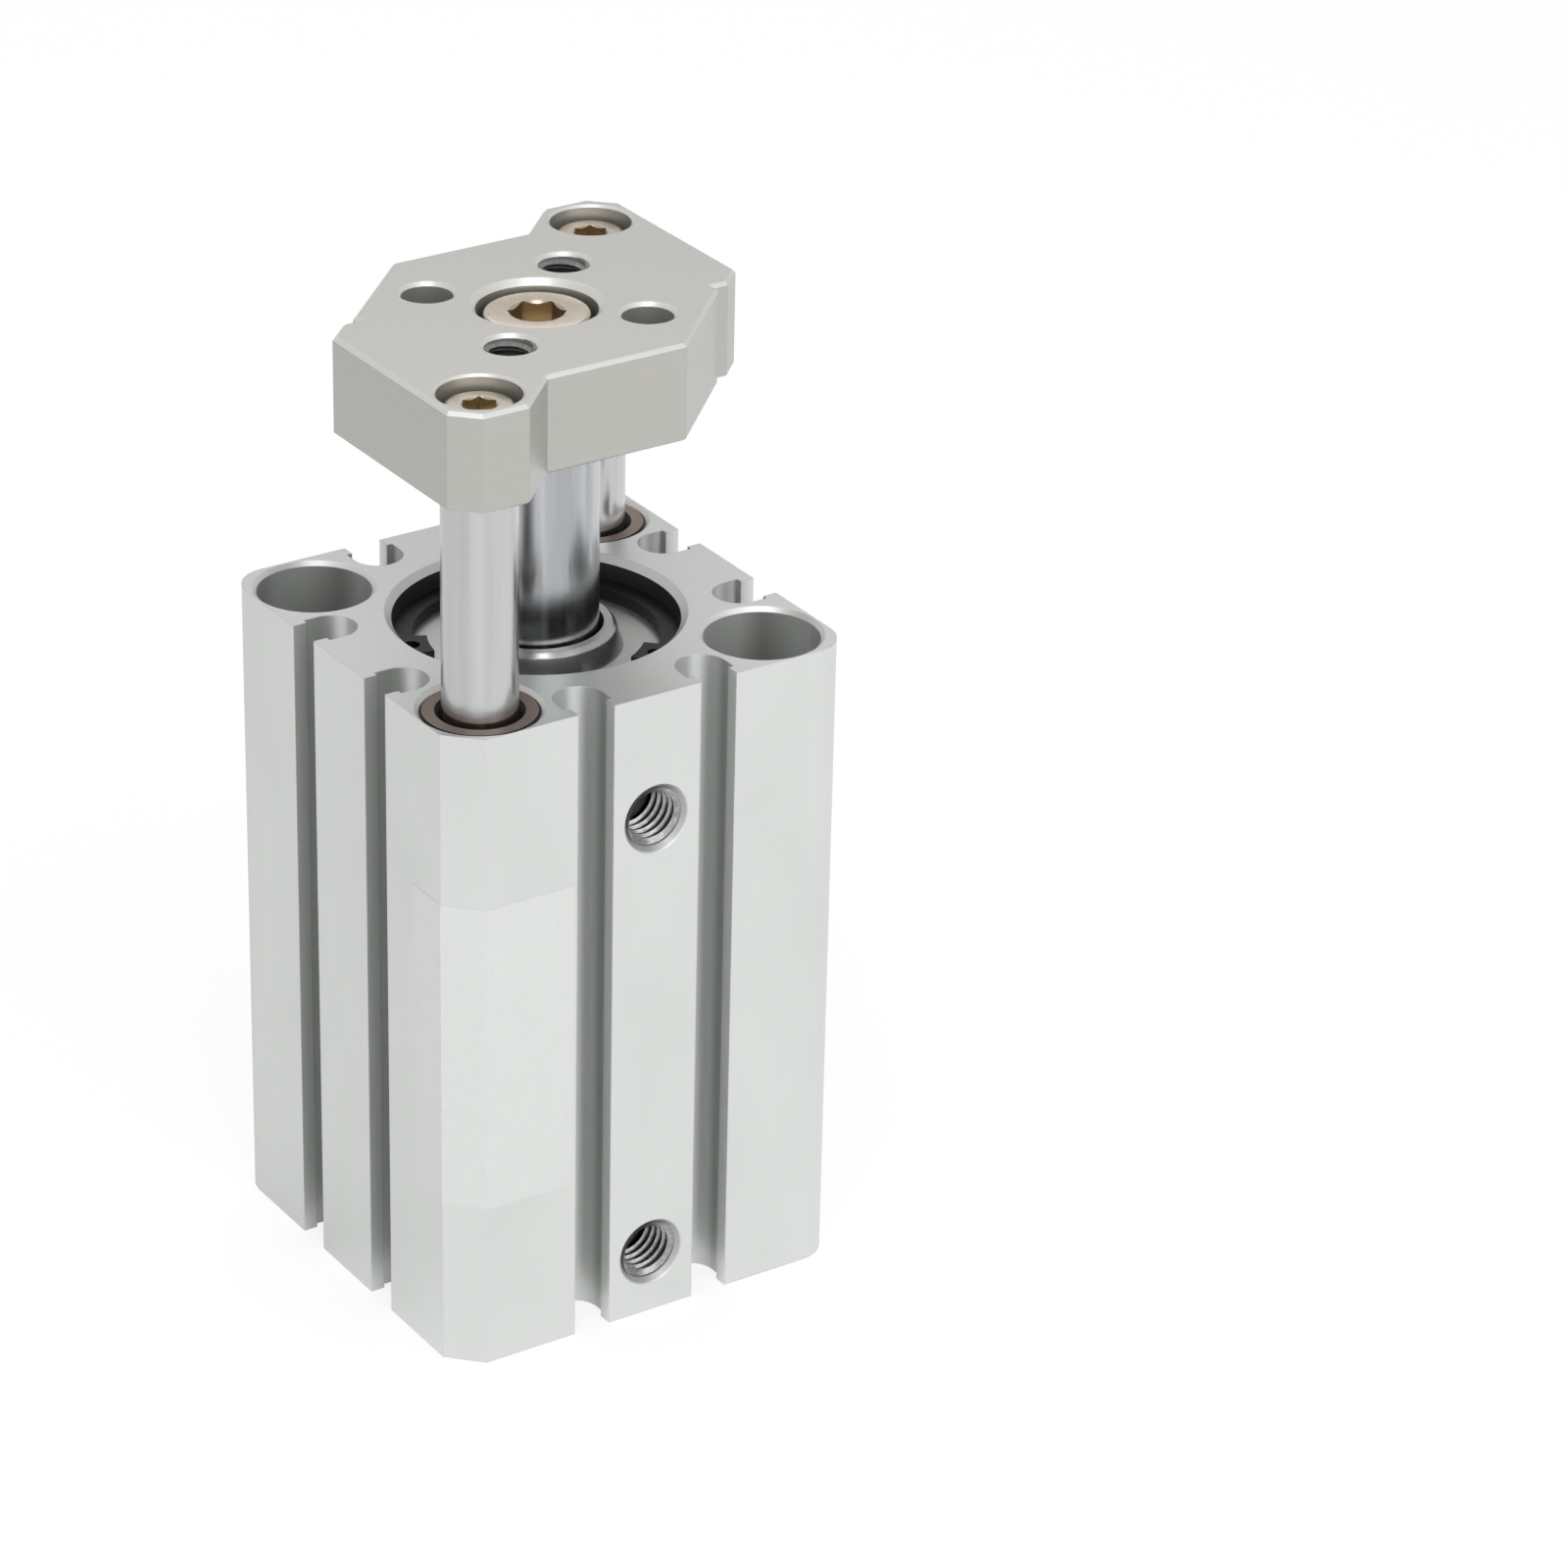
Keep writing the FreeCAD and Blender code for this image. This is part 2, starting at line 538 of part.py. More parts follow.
def make_rod_cover():
    """The turned cover that guides the rod: flange, boss, nose, O-ring groove and seal pocket."""
    groove_high = "(cover_oring_place + cover_oring_height)"
    pocket_high = "(cover_flange_length - rod_seal_depth)"
    pocket_low = f"({pocket_high} - rod_seal_height)"
    groove_floor = f"({COVER_BORE} - cover_oring_thickness)"
    nose = f"({BUMPER_OUT} + cover_nose_wall)"
    boss = "(rod_radius + cover_boss_wall)"
    recess = "(bumper_thickness - bumper_stand - cover_nose_length)"
    boss_top = "(cover_flange_length + cover_boss_height)"
    lip_hole = f"({ROD_HOLE} + cover_lip_gap)"
    turned("rod_cover", (
        (ROD_HOLE, "-cover_nose_length"),
        (BUMPER_IN, "-cover_nose_length"),
        (BUMPER_IN, recess),
        (BUMPER_OUT, recess),
        (BUMPER_OUT, "-cover_nose_length"),
        (nose, "-cover_nose_length"),
        (nose, "0"),
        (f"{COVER_RADIUS} - cover_chamfer", "0"),
        (COVER_RADIUS, "cover_chamfer"),
        (COVER_RADIUS, "cover_oring_place"),
        (groove_floor, "cover_oring_place"),
        (groove_floor, groove_high),
        (COVER_RADIUS, groove_high),
        (COVER_RADIUS, "cover_flange_length - cover_chamfer"),
        (f"{COVER_RADIUS} - cover_chamfer", "cover_flange_length"),
        (f"{boss} + cover_boss_flare", "cover_flange_length"),
        (boss, f"{boss_top} - cover_boss_chamfer"),
        (f"{boss} - cover_boss_chamfer", boss_top),
        (lip_hole, boss_top),
        (lip_hole, pocket_high),
        (SEAL_OUT, pocket_high),
        (SEAL_OUT, pocket_low),
        (ROD_HOLE, pocket_low),
    ), z=SEAT)
    turned("rod_cover_oring", ring_section(
        groove_floor, COVER_BORE,
        "(cover_oring_place + oring_side_gap)", f"({groove_high} - oring_side_gap)", "oring_edge",
    ), z=SEAT)
    turned("rod_seal", (
        (ROD_HOLE, "0"),
        (SEAL_OUT, "0"),
        (SEAL_OUT, "-rod_seal_height"),
        (f"{SEAL_OUT} - seal_lip", "-rod_seal_height"),
        (f"({SEAL_OUT} + {ROD_HOLE}) / 2", "-seal_root"),
        (f"{ROD_HOLE} + seal_lip", "-rod_seal_height"),
        (ROD_HOLE, "-rod_seal_height"),
    ), z=f"{SEAT} + {pocket_high}")


def make_retaining_ring():
    """The internal snap ring over the cover: a flat ring, open at one side, with an ear at each end."""
    body = piece("retaining_ring", z=RING, turn="ring_gap_turn")
    sketch = sketch_on(body, "ring_outline", "XY_Plane")
    outer = f"({COVER_BORE} + ring_groove_depth - ring_clearance)"
    inner = f"({outer} - ring_width)"
    ear = f"({inner} - ring_ear_depth)"
    end = "(ring_gap_angle / 2)"
    root = "(ring_gap_angle / 2 + ring_ear_angle)"

    def on_ring(radius, angle):
        return f"{radius} * cos({angle})", f"{radius} * sin({angle})"

    outline(sketch, (
        on_ring(outer, end),
        (*on_ring(outer, THIRD_TURN), outer, "left"),
        (*on_ring(outer, 2 * THIRD_TURN), outer, "left"),
        (*on_ring(outer, f"-{end}"), outer, "left"),
        on_ring(ear, f"-{end}"),
        (*on_ring(ear, f"-{root}"), ear, "right"),
        on_ring(inner, f"-{root}"),
        (*on_ring(inner, 2 * THIRD_TURN), inner, "right"),
        (*on_ring(inner, THIRD_TURN), inner, "right"),
        (*on_ring(inner, root), inner, "right"),
        on_ring(ear, root),
        (*on_ring(ear, end), ear, "right"),
    ))
    for side in ("", "-"):
        x, y = on_ring(f"(({ear} + {COVER_BORE}) / 2)", f"{side}({end} + ring_ear_angle / 2)")
        circle(sketch, x, y, "ring_eye_radius")
    feature(body, "PartDesign::Pad", "ring_plate", sketch, Length="ring_thickness")


def make_guide_bushes():
    """Two sintered bushes for each guide rod, pressed into the barrel one above the other."""
    hole = "(guide_rod_radius + running_clearance)"
    for corner, x, y in GUIDE_CORNERS:
        for level, height in (("upper", UPPER_BUSH), ("lower", LOWER_BUSH)):
            turned(f"{corner}_{level}_guide_bush", (
                (f"{hole} + bush_mouth_chamfer", "0"),
                (f"{BUSH_RADIUS} - bush_rim_chamfer", "0"),
                (BUSH_RADIUS, "bush_rim_chamfer"),
                (BUSH_RADIUS, "bush_length - bush_rim_chamfer"),
                (f"{BUSH_RADIUS} - bush_rim_chamfer", "bush_length"),
                (f"{hole} + bush_mouth_chamfer", "bush_length"),
                (hole, "bush_length - bush_mouth_chamfer"),
                (hole, "bush_mouth_chamfer"),
            ), x=x, y=y, z=height)


def make_bumpers():
    """Rubber rings that catch the piston at both ends, each half sunk in a recess."""
    section = ring_section(
        BUMPER_IN, BUMPER_OUT, "0", "bumper_thickness", "bumper_edge")
    turned("head_side_bumper", section, z=f"{HEAD_FACE} - (bumper_thickness - bumper_stand)")
    turned("rod_side_bumper", section, z=f"{SEAT} - cover_nose_length - bumper_stand")


# ---- what moves ----

def make_piston():
    """The piston, riveted on the rod, with its seal, its magnet ring and its wear ring in their grooves."""
    grooves = (
        ("piston_foot", "wear_ring_height", f"({SLIDE_RADIUS} - wear_ring_thickness)"),
        (MAGNET_PLACE, "magnet_height", f"({PISTON_RADIUS} - magnet_clearance - magnet_thickness)"),
        (PISTON_SEAL_PLACE, "piston_seal_height", f"({SLIDE_RADIUS} - piston_seal_thickness)"),
    )
    rim = []
    for low, height, floor in grooves:
        high = f"{low} + {height}"
        rim += [(PISTON_RADIUS, low), (floor, low), (floor, high), (PISTON_RADIUS, high)]
    turned("piston", (
        ("rod_spigot_radius + rod_flare", "0"),
        (f"{PISTON_RADIUS} - piston_chamfer", "0"),
        (PISTON_RADIUS, "piston_chamfer"),
        *rim,
        (PISTON_RADIUS, f"{PISTON_LENGTH} - piston_chamfer"),
        (f"{PISTON_RADIUS} - piston_chamfer", PISTON_LENGTH),
        ("rod_spigot_radius", PISTON_LENGTH),
        ("rod_spigot_radius", "rod_flare"),
    ), z=PISTON)

    magnet_out = f"({PISTON_RADIUS} - magnet_clearance)"
    turned("piston_magnet", (
        (f"{magnet_out} - magnet_thickness", "0"),
        (magnet_out, "0"),
        (magnet_out, "magnet_height"),
        (f"{magnet_out} - magnet_thickness", "magnet_height"),
    ), z=f"{PISTON} + {MAGNET_PLACE}")

    root = f"({SLIDE_RADIUS} - piston_seal_thickness)"
    middle = "(piston_seal_height / 2)"
    neck = f"({SLIDE_RADIUS} - seal_lip)"
    turned("piston_seal", (
        (root, "0"),
        (neck, "0"),
        (SLIDE_RADIUS, f"{middle} - seal_lip / 2"),
        (SLIDE_RADIUS, f"{middle} + seal_lip / 2"),
        (neck, "piston_seal_height"),
        (root, "piston_seal_height"),
    ), z=f"{PISTON} + {PISTON_SEAL_PLACE}")


def make_wear_ring():
    """The split ring that carries the piston in its bore."""
    ring = turned("piston_wear_ring", (
        (f"{SLIDE_RADIUS} - wear_ring_thickness", "0"),
        (SLIDE_RADIUS, "0"),
        (SLIDE_RADIUS, "wear_ring_height"),
        (f"{SLIDE_RADIUS} - wear_ring_thickness", "wear_ring_height"),
    ), z=f"{PISTON} + piston_foot")
    slot = sketch_on(ring, "wear_ring_slot_outline", "XY_Plane", "wear_ring_height")
    outline(slot, (
        ("-wear_ring_slot / 2", "0"),
        ("wear_ring_slot / 2", "0"),
        ("wear_ring_slot / 2", "piston_bore_radius"),
        ("-wear_ring_slot / 2", "piston_bore_radius"),
    ))
    removes(feature(ring, "PartDesign::Pocket", "wear_ring_split", slot, Type="ThroughAll"))


def make_piston_rod():
    """The rod: riveted spigot in the piston, shoulder, shaft, and a tapped hole in its upper end."""
    length = f"({PLATE} - {PISTON})"
    hole_end = f"({length} - (rod_screw_length - {ROD_WEB}) - screw_end_room)"
    turned("piston_rod", (
        ("rod_spigot_radius + rod_flare", "0"),
        ("rod_spigot_radius", "rod_flare"),
        ("rod_spigot_radius", PISTON_LENGTH),
        ("rod_radius", PISTON_LENGTH),
        ("rod_radius", f"{length} - rod_chamfer"),
        ("rod_radius - rod_chamfer", length),
        ("rod_screw_radius", length),
        ("rod_screw_radius", hole_end),
        ("0", f"{hole_end} - drill_tip"),
        ("0", "0"),
    ), z=PISTON)


def make_guide_rods():
    """Two hard-chromed rods that hang from the end plate and run in the bushes."""
    hole_end = f"(-(guide_screw_length - {GUIDE_WEB}) - screw_end_room)"
    for corner, x, y in GUIDE_CORNERS:
        turned(f"{corner}_guide_rod", (
            ("0", GUIDE_ROD_END),
            ("guide_rod_radius - guide_rod_chamfer", GUIDE_ROD_END),
            ("guide_rod_radius", f"guide_rod_chamfer + {GUIDE_ROD_END}"),
            ("guide_rod_radius", "0"),
            ("guide_screw_radius", "0"),
            ("guide_screw_radius", hole_end),
            ("0", f"{hole_end} - drill_tip"),
        ), x=x, y=y, z=PLATE)


def plate_half(sign):
    """Half of the end plate's outline, from one guide corner to the other; the rest is its half turn."""
    edge = f"({HALF} - plate_inset)"
    corner = f"({edge} - plate_corner_chamfer)"
    waist = f"({edge} - plate_waist_step)"
    facet = f"(2 * {MOUNT} - sqrt(2) * plate_bolt_room)"
    notch = f"({edge} - plate_notch_depth)"
    floor = f"(plate_shoulder - {edge})"
    steps = (
        (f"-{corner}", f"-{edge}"),
        (f"plate_arm - {edge}", f"-{edge}"),
        (f"plate_arm + plate_waist_step - {edge}", f"-{waist}"),
        (f"{facet} - {waist}", f"-{waist}"),
        (notch, f"{notch} - {facet}"),
        (notch, floor),
        (corner, floor),
        (edge, f"plate_corner_chamfer + {floor}"),
        (edge, corner),
    )
    return [(f"{sign}({x})", f"{sign}({y})") for x, y in steps]


def make_end_plate():
    """The end plate: arms round the guide rods, a waist that clears the mounting bolts, seven holes."""
    body = piece("end_plate", z=PLATE)
    section = sketch_on(body, "end_plate_outline", "XY_Plane")
    outline(section, plate_half("") + plate_half("-"))
    feature(body, "PartDesign::Pad", "end_plate_block", section, Length="plate_thickness")
    bevel(body, "end_plate_upper_edge", "plate_edge_chamfer",
          lambda edge: at_height(edge, number("plate_thickness")))
    bevel(body, "end_plate_lower_edge", "plate_lower_chamfer", lambda edge: at_height(edge, 0))

    top = "plate_thickness"
    centre = (("0", "0"),)
    guides = tuple((x, y) for _, x, y in GUIDE_CORNERS)
    along = (("plate_hole_offset", "plate_hole_offset"), ("-plate_hole_offset", "-plate_hole_offset"))
    across = (("plate_hole_offset", "-plate_hole_offset"), ("-plate_hole_offset", "plate_hole_offset"))
    for key, places, web in (("rod_screw", centre, ROD_WEB), ("guide_screw", guides, GUIDE_WEB)):
        shanks = circles_at(body, f"{key}_hole_circles", places, f"{key}_radius + screw_clearance", top)
        removes(feature(body, "PartDesign::Pocket", f"{key}_holes", shanks, Type="ThroughAll"))
        room = f"({key}_head_radius + screw_head_room)"
        heads = circles_at(body, f"{key}_counterbore_circles", places, room, top)
        countersunk_holes(body, f"{key}_counterbores", heads, room, f"plate_thickness - {web}",
                          f"{key}_mouth", DrillPoint="Flat")
    for kind, places, radius in (("threaded", along, "plate_thread_radius"),
                                 ("plain", across, "plate_plain_radius")):
        for end, lift, reversed_cut in (("upper", top, False), ("lower", "0", True)):
            mouths = circles_at(body, f"{kind}_hole_{end}_circles", places, radius, lift)
            countersunk_holes(body, f"{kind}_holes_{end}", mouths, radius, None, "plate_hole_chamfer",
                              Reversed=reversed_cut)


def make_socket_screw(label, key, x, y, web, turn="0"):
    """A socket head cap screw; its zero is the underside of its head, on the plate's counterbore floor."""
    body = turned(label, (
        ("0", f"-{key}_length"),
        (f"{key}_radius - screw_socket_chamfer", f"-{key}_length"),
        (f"{key}_radius", f"screw_socket_chamfer - {key}_length"),
        (f"{key}_radius", "0"),
        (f"{key}_head_radius", "0"),
        (f"{key}_head_radius", f"{key}_head_height - screw_head_chamfer"),
        (f"{key}_head_radius - screw_head_chamfer", f"{key}_head_height"),
        ("0", f"{key}_head_height"),
    ), x=x, y=y, z=f"{PLATE} + {web}", turn=turn)
    corner = f"{key}_hex / sqrt(3)"
    socket = sketch_on(body, f"{label}_socket_outline", "XY_Plane", f"{key}_head_height")
    outline(socket, tuple(
        (f"{corner} * cos({angle})", f"{corner} * sin({angle})")
        for angle in range(0, FULL_TURN, SIXTH_TURN)))
    removes(feature(body, "PartDesign::Pocket", f"{label}_socket", socket, Length=f"{key}_hex_depth"))
    mouth = sketch_on(body, f"{label}_mouth_profile", "XZ_Plane")
    outline(mouth, (
        ("0", f"{key}_head_height - screw_socket_chamfer"),
        (corner, f"{key}_head_height - screw_socket_chamfer"),
        (f"{corner} + screw_socket_chamfer", f"{key}_head_height"),
        ("0", f"{key}_head_height"),
    ))
    removes(feature(body, "PartDesign::Groove", f"{label}_mouth", mouth,
                    ReferenceAxis=(mouth, ["V_Axis"]), Angle=FULL_TURN))


def make_screws():
    """One screw holds the end plate to the piston rod, and one to each guide rod."""
    make_socket_screw("rod_screw", "rod_screw", "0", "0", ROD_WEB, "screw_hex_turn")
    for corner, x, y in GUIDE_CORNERS:
        make_socket_screw(f"{corner}_guide_screw", "guide_screw", x, y, GUIDE_WEB)


def check():
    """Stop unless every object has recomputed and every sub-part is one sound solid."""
    doc.recompute()
    failed = [item.Label for item in doc.Objects if "Invalid" in item.State or "Error" in item.State]
    if failed:
        raise RuntimeError(f"not recomputed: {failed}")
    for body in pieces:
        shape = body.Shape
        if shape.isNull() or not shape.isValid() or len(shape.Solids) != 1 or shape.Volume <= 0:
            raise RuntimeError(f"{body.Label} is not one sound solid")


def write():
    """Write each sub-part to a file that carries its label."""
    os.makedirs("parts", exist_ok=True)
    for body in pieces:
        body.Shape.exportStep(f"parts/{body.Label}.step")
        box = body.Shape.BoundBox
        print(f"{body.Label:26s} z {box.ZMin:8.3f} to {box.ZMax:8.3f}  volume {body.Shape.Volume:10.2f}")


fill_sheet()
make_cylinder_body()
make_head_plate()
make_rod_cover()
make_retaining_ring()
make_guide_bushes()
make_bumpers()
make_piston()
make_wear_ring()
make_piston_rod()
make_guide_rods()
make_end_plate()
make_screws()
check()
write()
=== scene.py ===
import json
import math

import bpy
from bpy.props import FloatProperty, FloatVectorProperty, IntProperty, PointerProperty
from mathutils import Euler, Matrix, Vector


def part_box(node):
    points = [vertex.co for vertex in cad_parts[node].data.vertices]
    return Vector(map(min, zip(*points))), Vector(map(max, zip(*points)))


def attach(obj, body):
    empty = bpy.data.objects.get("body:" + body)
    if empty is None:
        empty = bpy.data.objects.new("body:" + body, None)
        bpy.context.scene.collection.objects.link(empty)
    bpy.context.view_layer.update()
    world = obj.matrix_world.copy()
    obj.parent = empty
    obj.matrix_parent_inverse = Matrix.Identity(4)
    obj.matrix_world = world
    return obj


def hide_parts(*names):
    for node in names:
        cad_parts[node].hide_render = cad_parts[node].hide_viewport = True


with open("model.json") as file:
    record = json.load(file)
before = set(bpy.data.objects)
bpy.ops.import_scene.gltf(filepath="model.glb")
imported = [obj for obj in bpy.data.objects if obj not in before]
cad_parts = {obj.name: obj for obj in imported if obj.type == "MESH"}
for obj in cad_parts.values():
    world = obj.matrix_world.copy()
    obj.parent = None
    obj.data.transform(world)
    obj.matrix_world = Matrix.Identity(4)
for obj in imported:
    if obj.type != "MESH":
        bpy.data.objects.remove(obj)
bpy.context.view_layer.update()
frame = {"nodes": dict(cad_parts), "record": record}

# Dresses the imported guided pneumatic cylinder: finishes for the CAD nodes, threads in the ports and
# the end plate, socket screws, a blank label, and a stage with its lamps and camera. Metres, in the
# frame of the CAD model: +Z along the piston rod, and the ports in the face that looks along -Y.

bl_info = {
    "name": "Guided pneumatic cylinder finishes",
    "version": (1, 0, 0),
    "blender": (4, 5, 0),
    "location": "View3D > Sidebar > Guided Cylinder",
    "description": "Finishes, threads, screws, label and stage for a guided pneumatic cylinder",
    "category": "Object",
}

MM = 0.001
BARREL_LOW, BARREL_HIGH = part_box("cylinder_body")
CORNER_LEG = 2.55 * MM      # how far a chamfered corner of the barrel runs along each face
BORED_RADIUS = 11.75 * MM   # what lies nearer the barrel's axis is bored, not extruded
PORT_MOUTH = 3.05 * MM      # radius round a port that holds its countersunk mouth
MOUNTS = {mount["name"]: mount for mount in frame["record"]["mounts"]}


# ---- shared helpers ----

def linear(code):
    """A colour written as sRGB hex, as the linear values that shaders take."""
    channels = [int(code[start:start + 2], 16) / 255 for start in (1, 3, 5)]
    return (*[c / 12.92 if c <= 0.04045 else ((c + 0.055) / 1.055) ** 2.4 for c in channels], 1.0)


def add(tree, kind, inputs=None, **settings):
    """A node with its settings. Each input takes a value, a socket, or a node whose first output in use
    feeds it."""
    node = tree.nodes.new(kind)
    for name, value in settings.items():
        setattr(node, name, value)
    live = [socket for socket in node.inputs if socket.enabled]
    for key, value in (inputs or {}).items():
        socket = live[key] if isinstance(key, int) else next(s for s in live if s.name == key)
        if isinstance(value, bpy.types.Node):
            value = next(s for s in value.outputs if s.enabled)
        if isinstance(value, bpy.types.NodeSocket):
            tree.links.new(value, socket)
        else:
            socket.default_value = value
    return node


def new_material(name):
    """A material with an empty node tree."""
    material = bpy.data.materials.new(name)
    material.use_nodes = True
    material.node_tree.nodes.clear()
    return material, material.node_tree


def grain(tree, cell, detail=2.0):
    """Noise whose cells measure `cell` millimetres along each axis of the object."""
    place = add(tree, "ShaderNodeTexCoord").outputs["Object"]
    scaled = add(tree, "ShaderNodeMapping", {"Vector": place, "Scale": [1 / (size * MM) for size in cell]})
    return add(tree, "ShaderNodeTexNoise", {"Vector": scaled, "Scale": 1.0, "Detail": detail})


def arcs(tree, centre, spacing):
    """Noise that changes only with the distance from a vertical axis: the arcs that a cutter or a lathe
    leaves about `spacing` millimetres apart. The axis is given in millimetres."""
    place = add(tree, "ShaderNodeTexCoord").outputs["Object"]
    moved = add(tree, "ShaderNodeMapping", {
        "Vector": place, "Location": (-centre[0] * MM, -centre[1] * MM, 0)})
    flat = add(tree, "ShaderNodeVectorMath", {0: moved, 1: (1, 1, 0)}, operation="MULTIPLY")
    radius = add(tree, "ShaderNodeVectorMath", {0: flat}, operation="LENGTH")
    scaled = add(tree, "ShaderNodeMath", {0: radius, 1: 1 / (spacing * MM)}, operation="MULTIPLY")
    return add(tree, "ShaderNodeTexNoise", {"W": scaled, "Scale": 1.0, "Detail": 1.0}, noise_dimensions="1D")


def level_faces(tree):
    """Two masks from how far a face looks up or down: one for level faces, one for 45 degree chamfers."""
    # The normal's height is 0 on an upright face, 0.71 on a chamfer and 1 on a level face.
    normal = add(tree, "ShaderNodeNewGeometry").outputs["True Normal"]
    split = add(tree, "ShaderNodeSeparateXYZ", {0: normal})
    level = add(tree, "ShaderNodeMath", {0: split.outputs["Z"]}, operation="ABSOLUTE")
    ends = add(tree, "ShaderNodeMapRange", {"Value": level, "From Min": 0.93, "From Max": 0.97})
    slope = add(tree, "ShaderNodeMapRange", {"Value": level, "From Min": 0.45, "From Max": 0.55})
    chamfers = add(tree, "ShaderNodeMath", {0: slope, 1: ends}, operation="SUBTRACT")
    return ends, chamfers


def relief(tree, height, depth, edge=0.0):
    """A normal from a height map `depth` millimetres deep, over edges rounded by `edge` millimetres."""
    inputs = {"Height": height, "Distance": depth * MM}
    if edge:
        inputs["Normal"] = add(tree, "ShaderNodeBevel", {"Radius": edge * MM}, samples=3)
    return add(tree, "ShaderNodeBump", inputs)


def coat_node(node, material):
    """Give a CAD node its finish."""
    mesh = frame["nodes"][node].data
    mesh.materials.clear()
    mesh.materials.append(material)


def mesh_piece(name, mesh, body, material):
    """A finished piece: an object at the origin that rides on a CAD body."""
    mesh.materials.append(material)
    piece = bpy.data.objects.new(name, mesh)
    bpy.context.scene.collection.objects.link(piece)
    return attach(piece, body)


# ---- materials ----

def barrel_depth(tree):
    """How far a point of the barrel lies inside its outer faces, in metres."""
    place = add(tree, "ShaderNodeTexCoord").outputs["Object"]
    size = add(tree, "ShaderNodeVectorMath", {0: place}, operation="ABSOLUTE")
    across = add(tree, "ShaderNodeSeparateXYZ", {0: size}).outputs
    side = add(tree, "ShaderNodeMath", {0: across["X"], 1: across["Y"]}, operation="MAXIMUM")
    both = add(tree, "ShaderNodeMath", {0: across["X"], 1: across["Y"]}, operation="ADD")
    corner = add(tree, "ShaderNodeMath", {0: both, 1: BARREL_HIGH.x - CORNER_LEG}, operation="SUBTRACT")
    reach = add(tree, "ShaderNodeMath", {0: side, 1: corner}, operation="MAXIMUM")
    return add(tree, "ShaderNodeMath", {0: BARREL_HIGH.x, 1: reach}, operation="SUBTRACT")


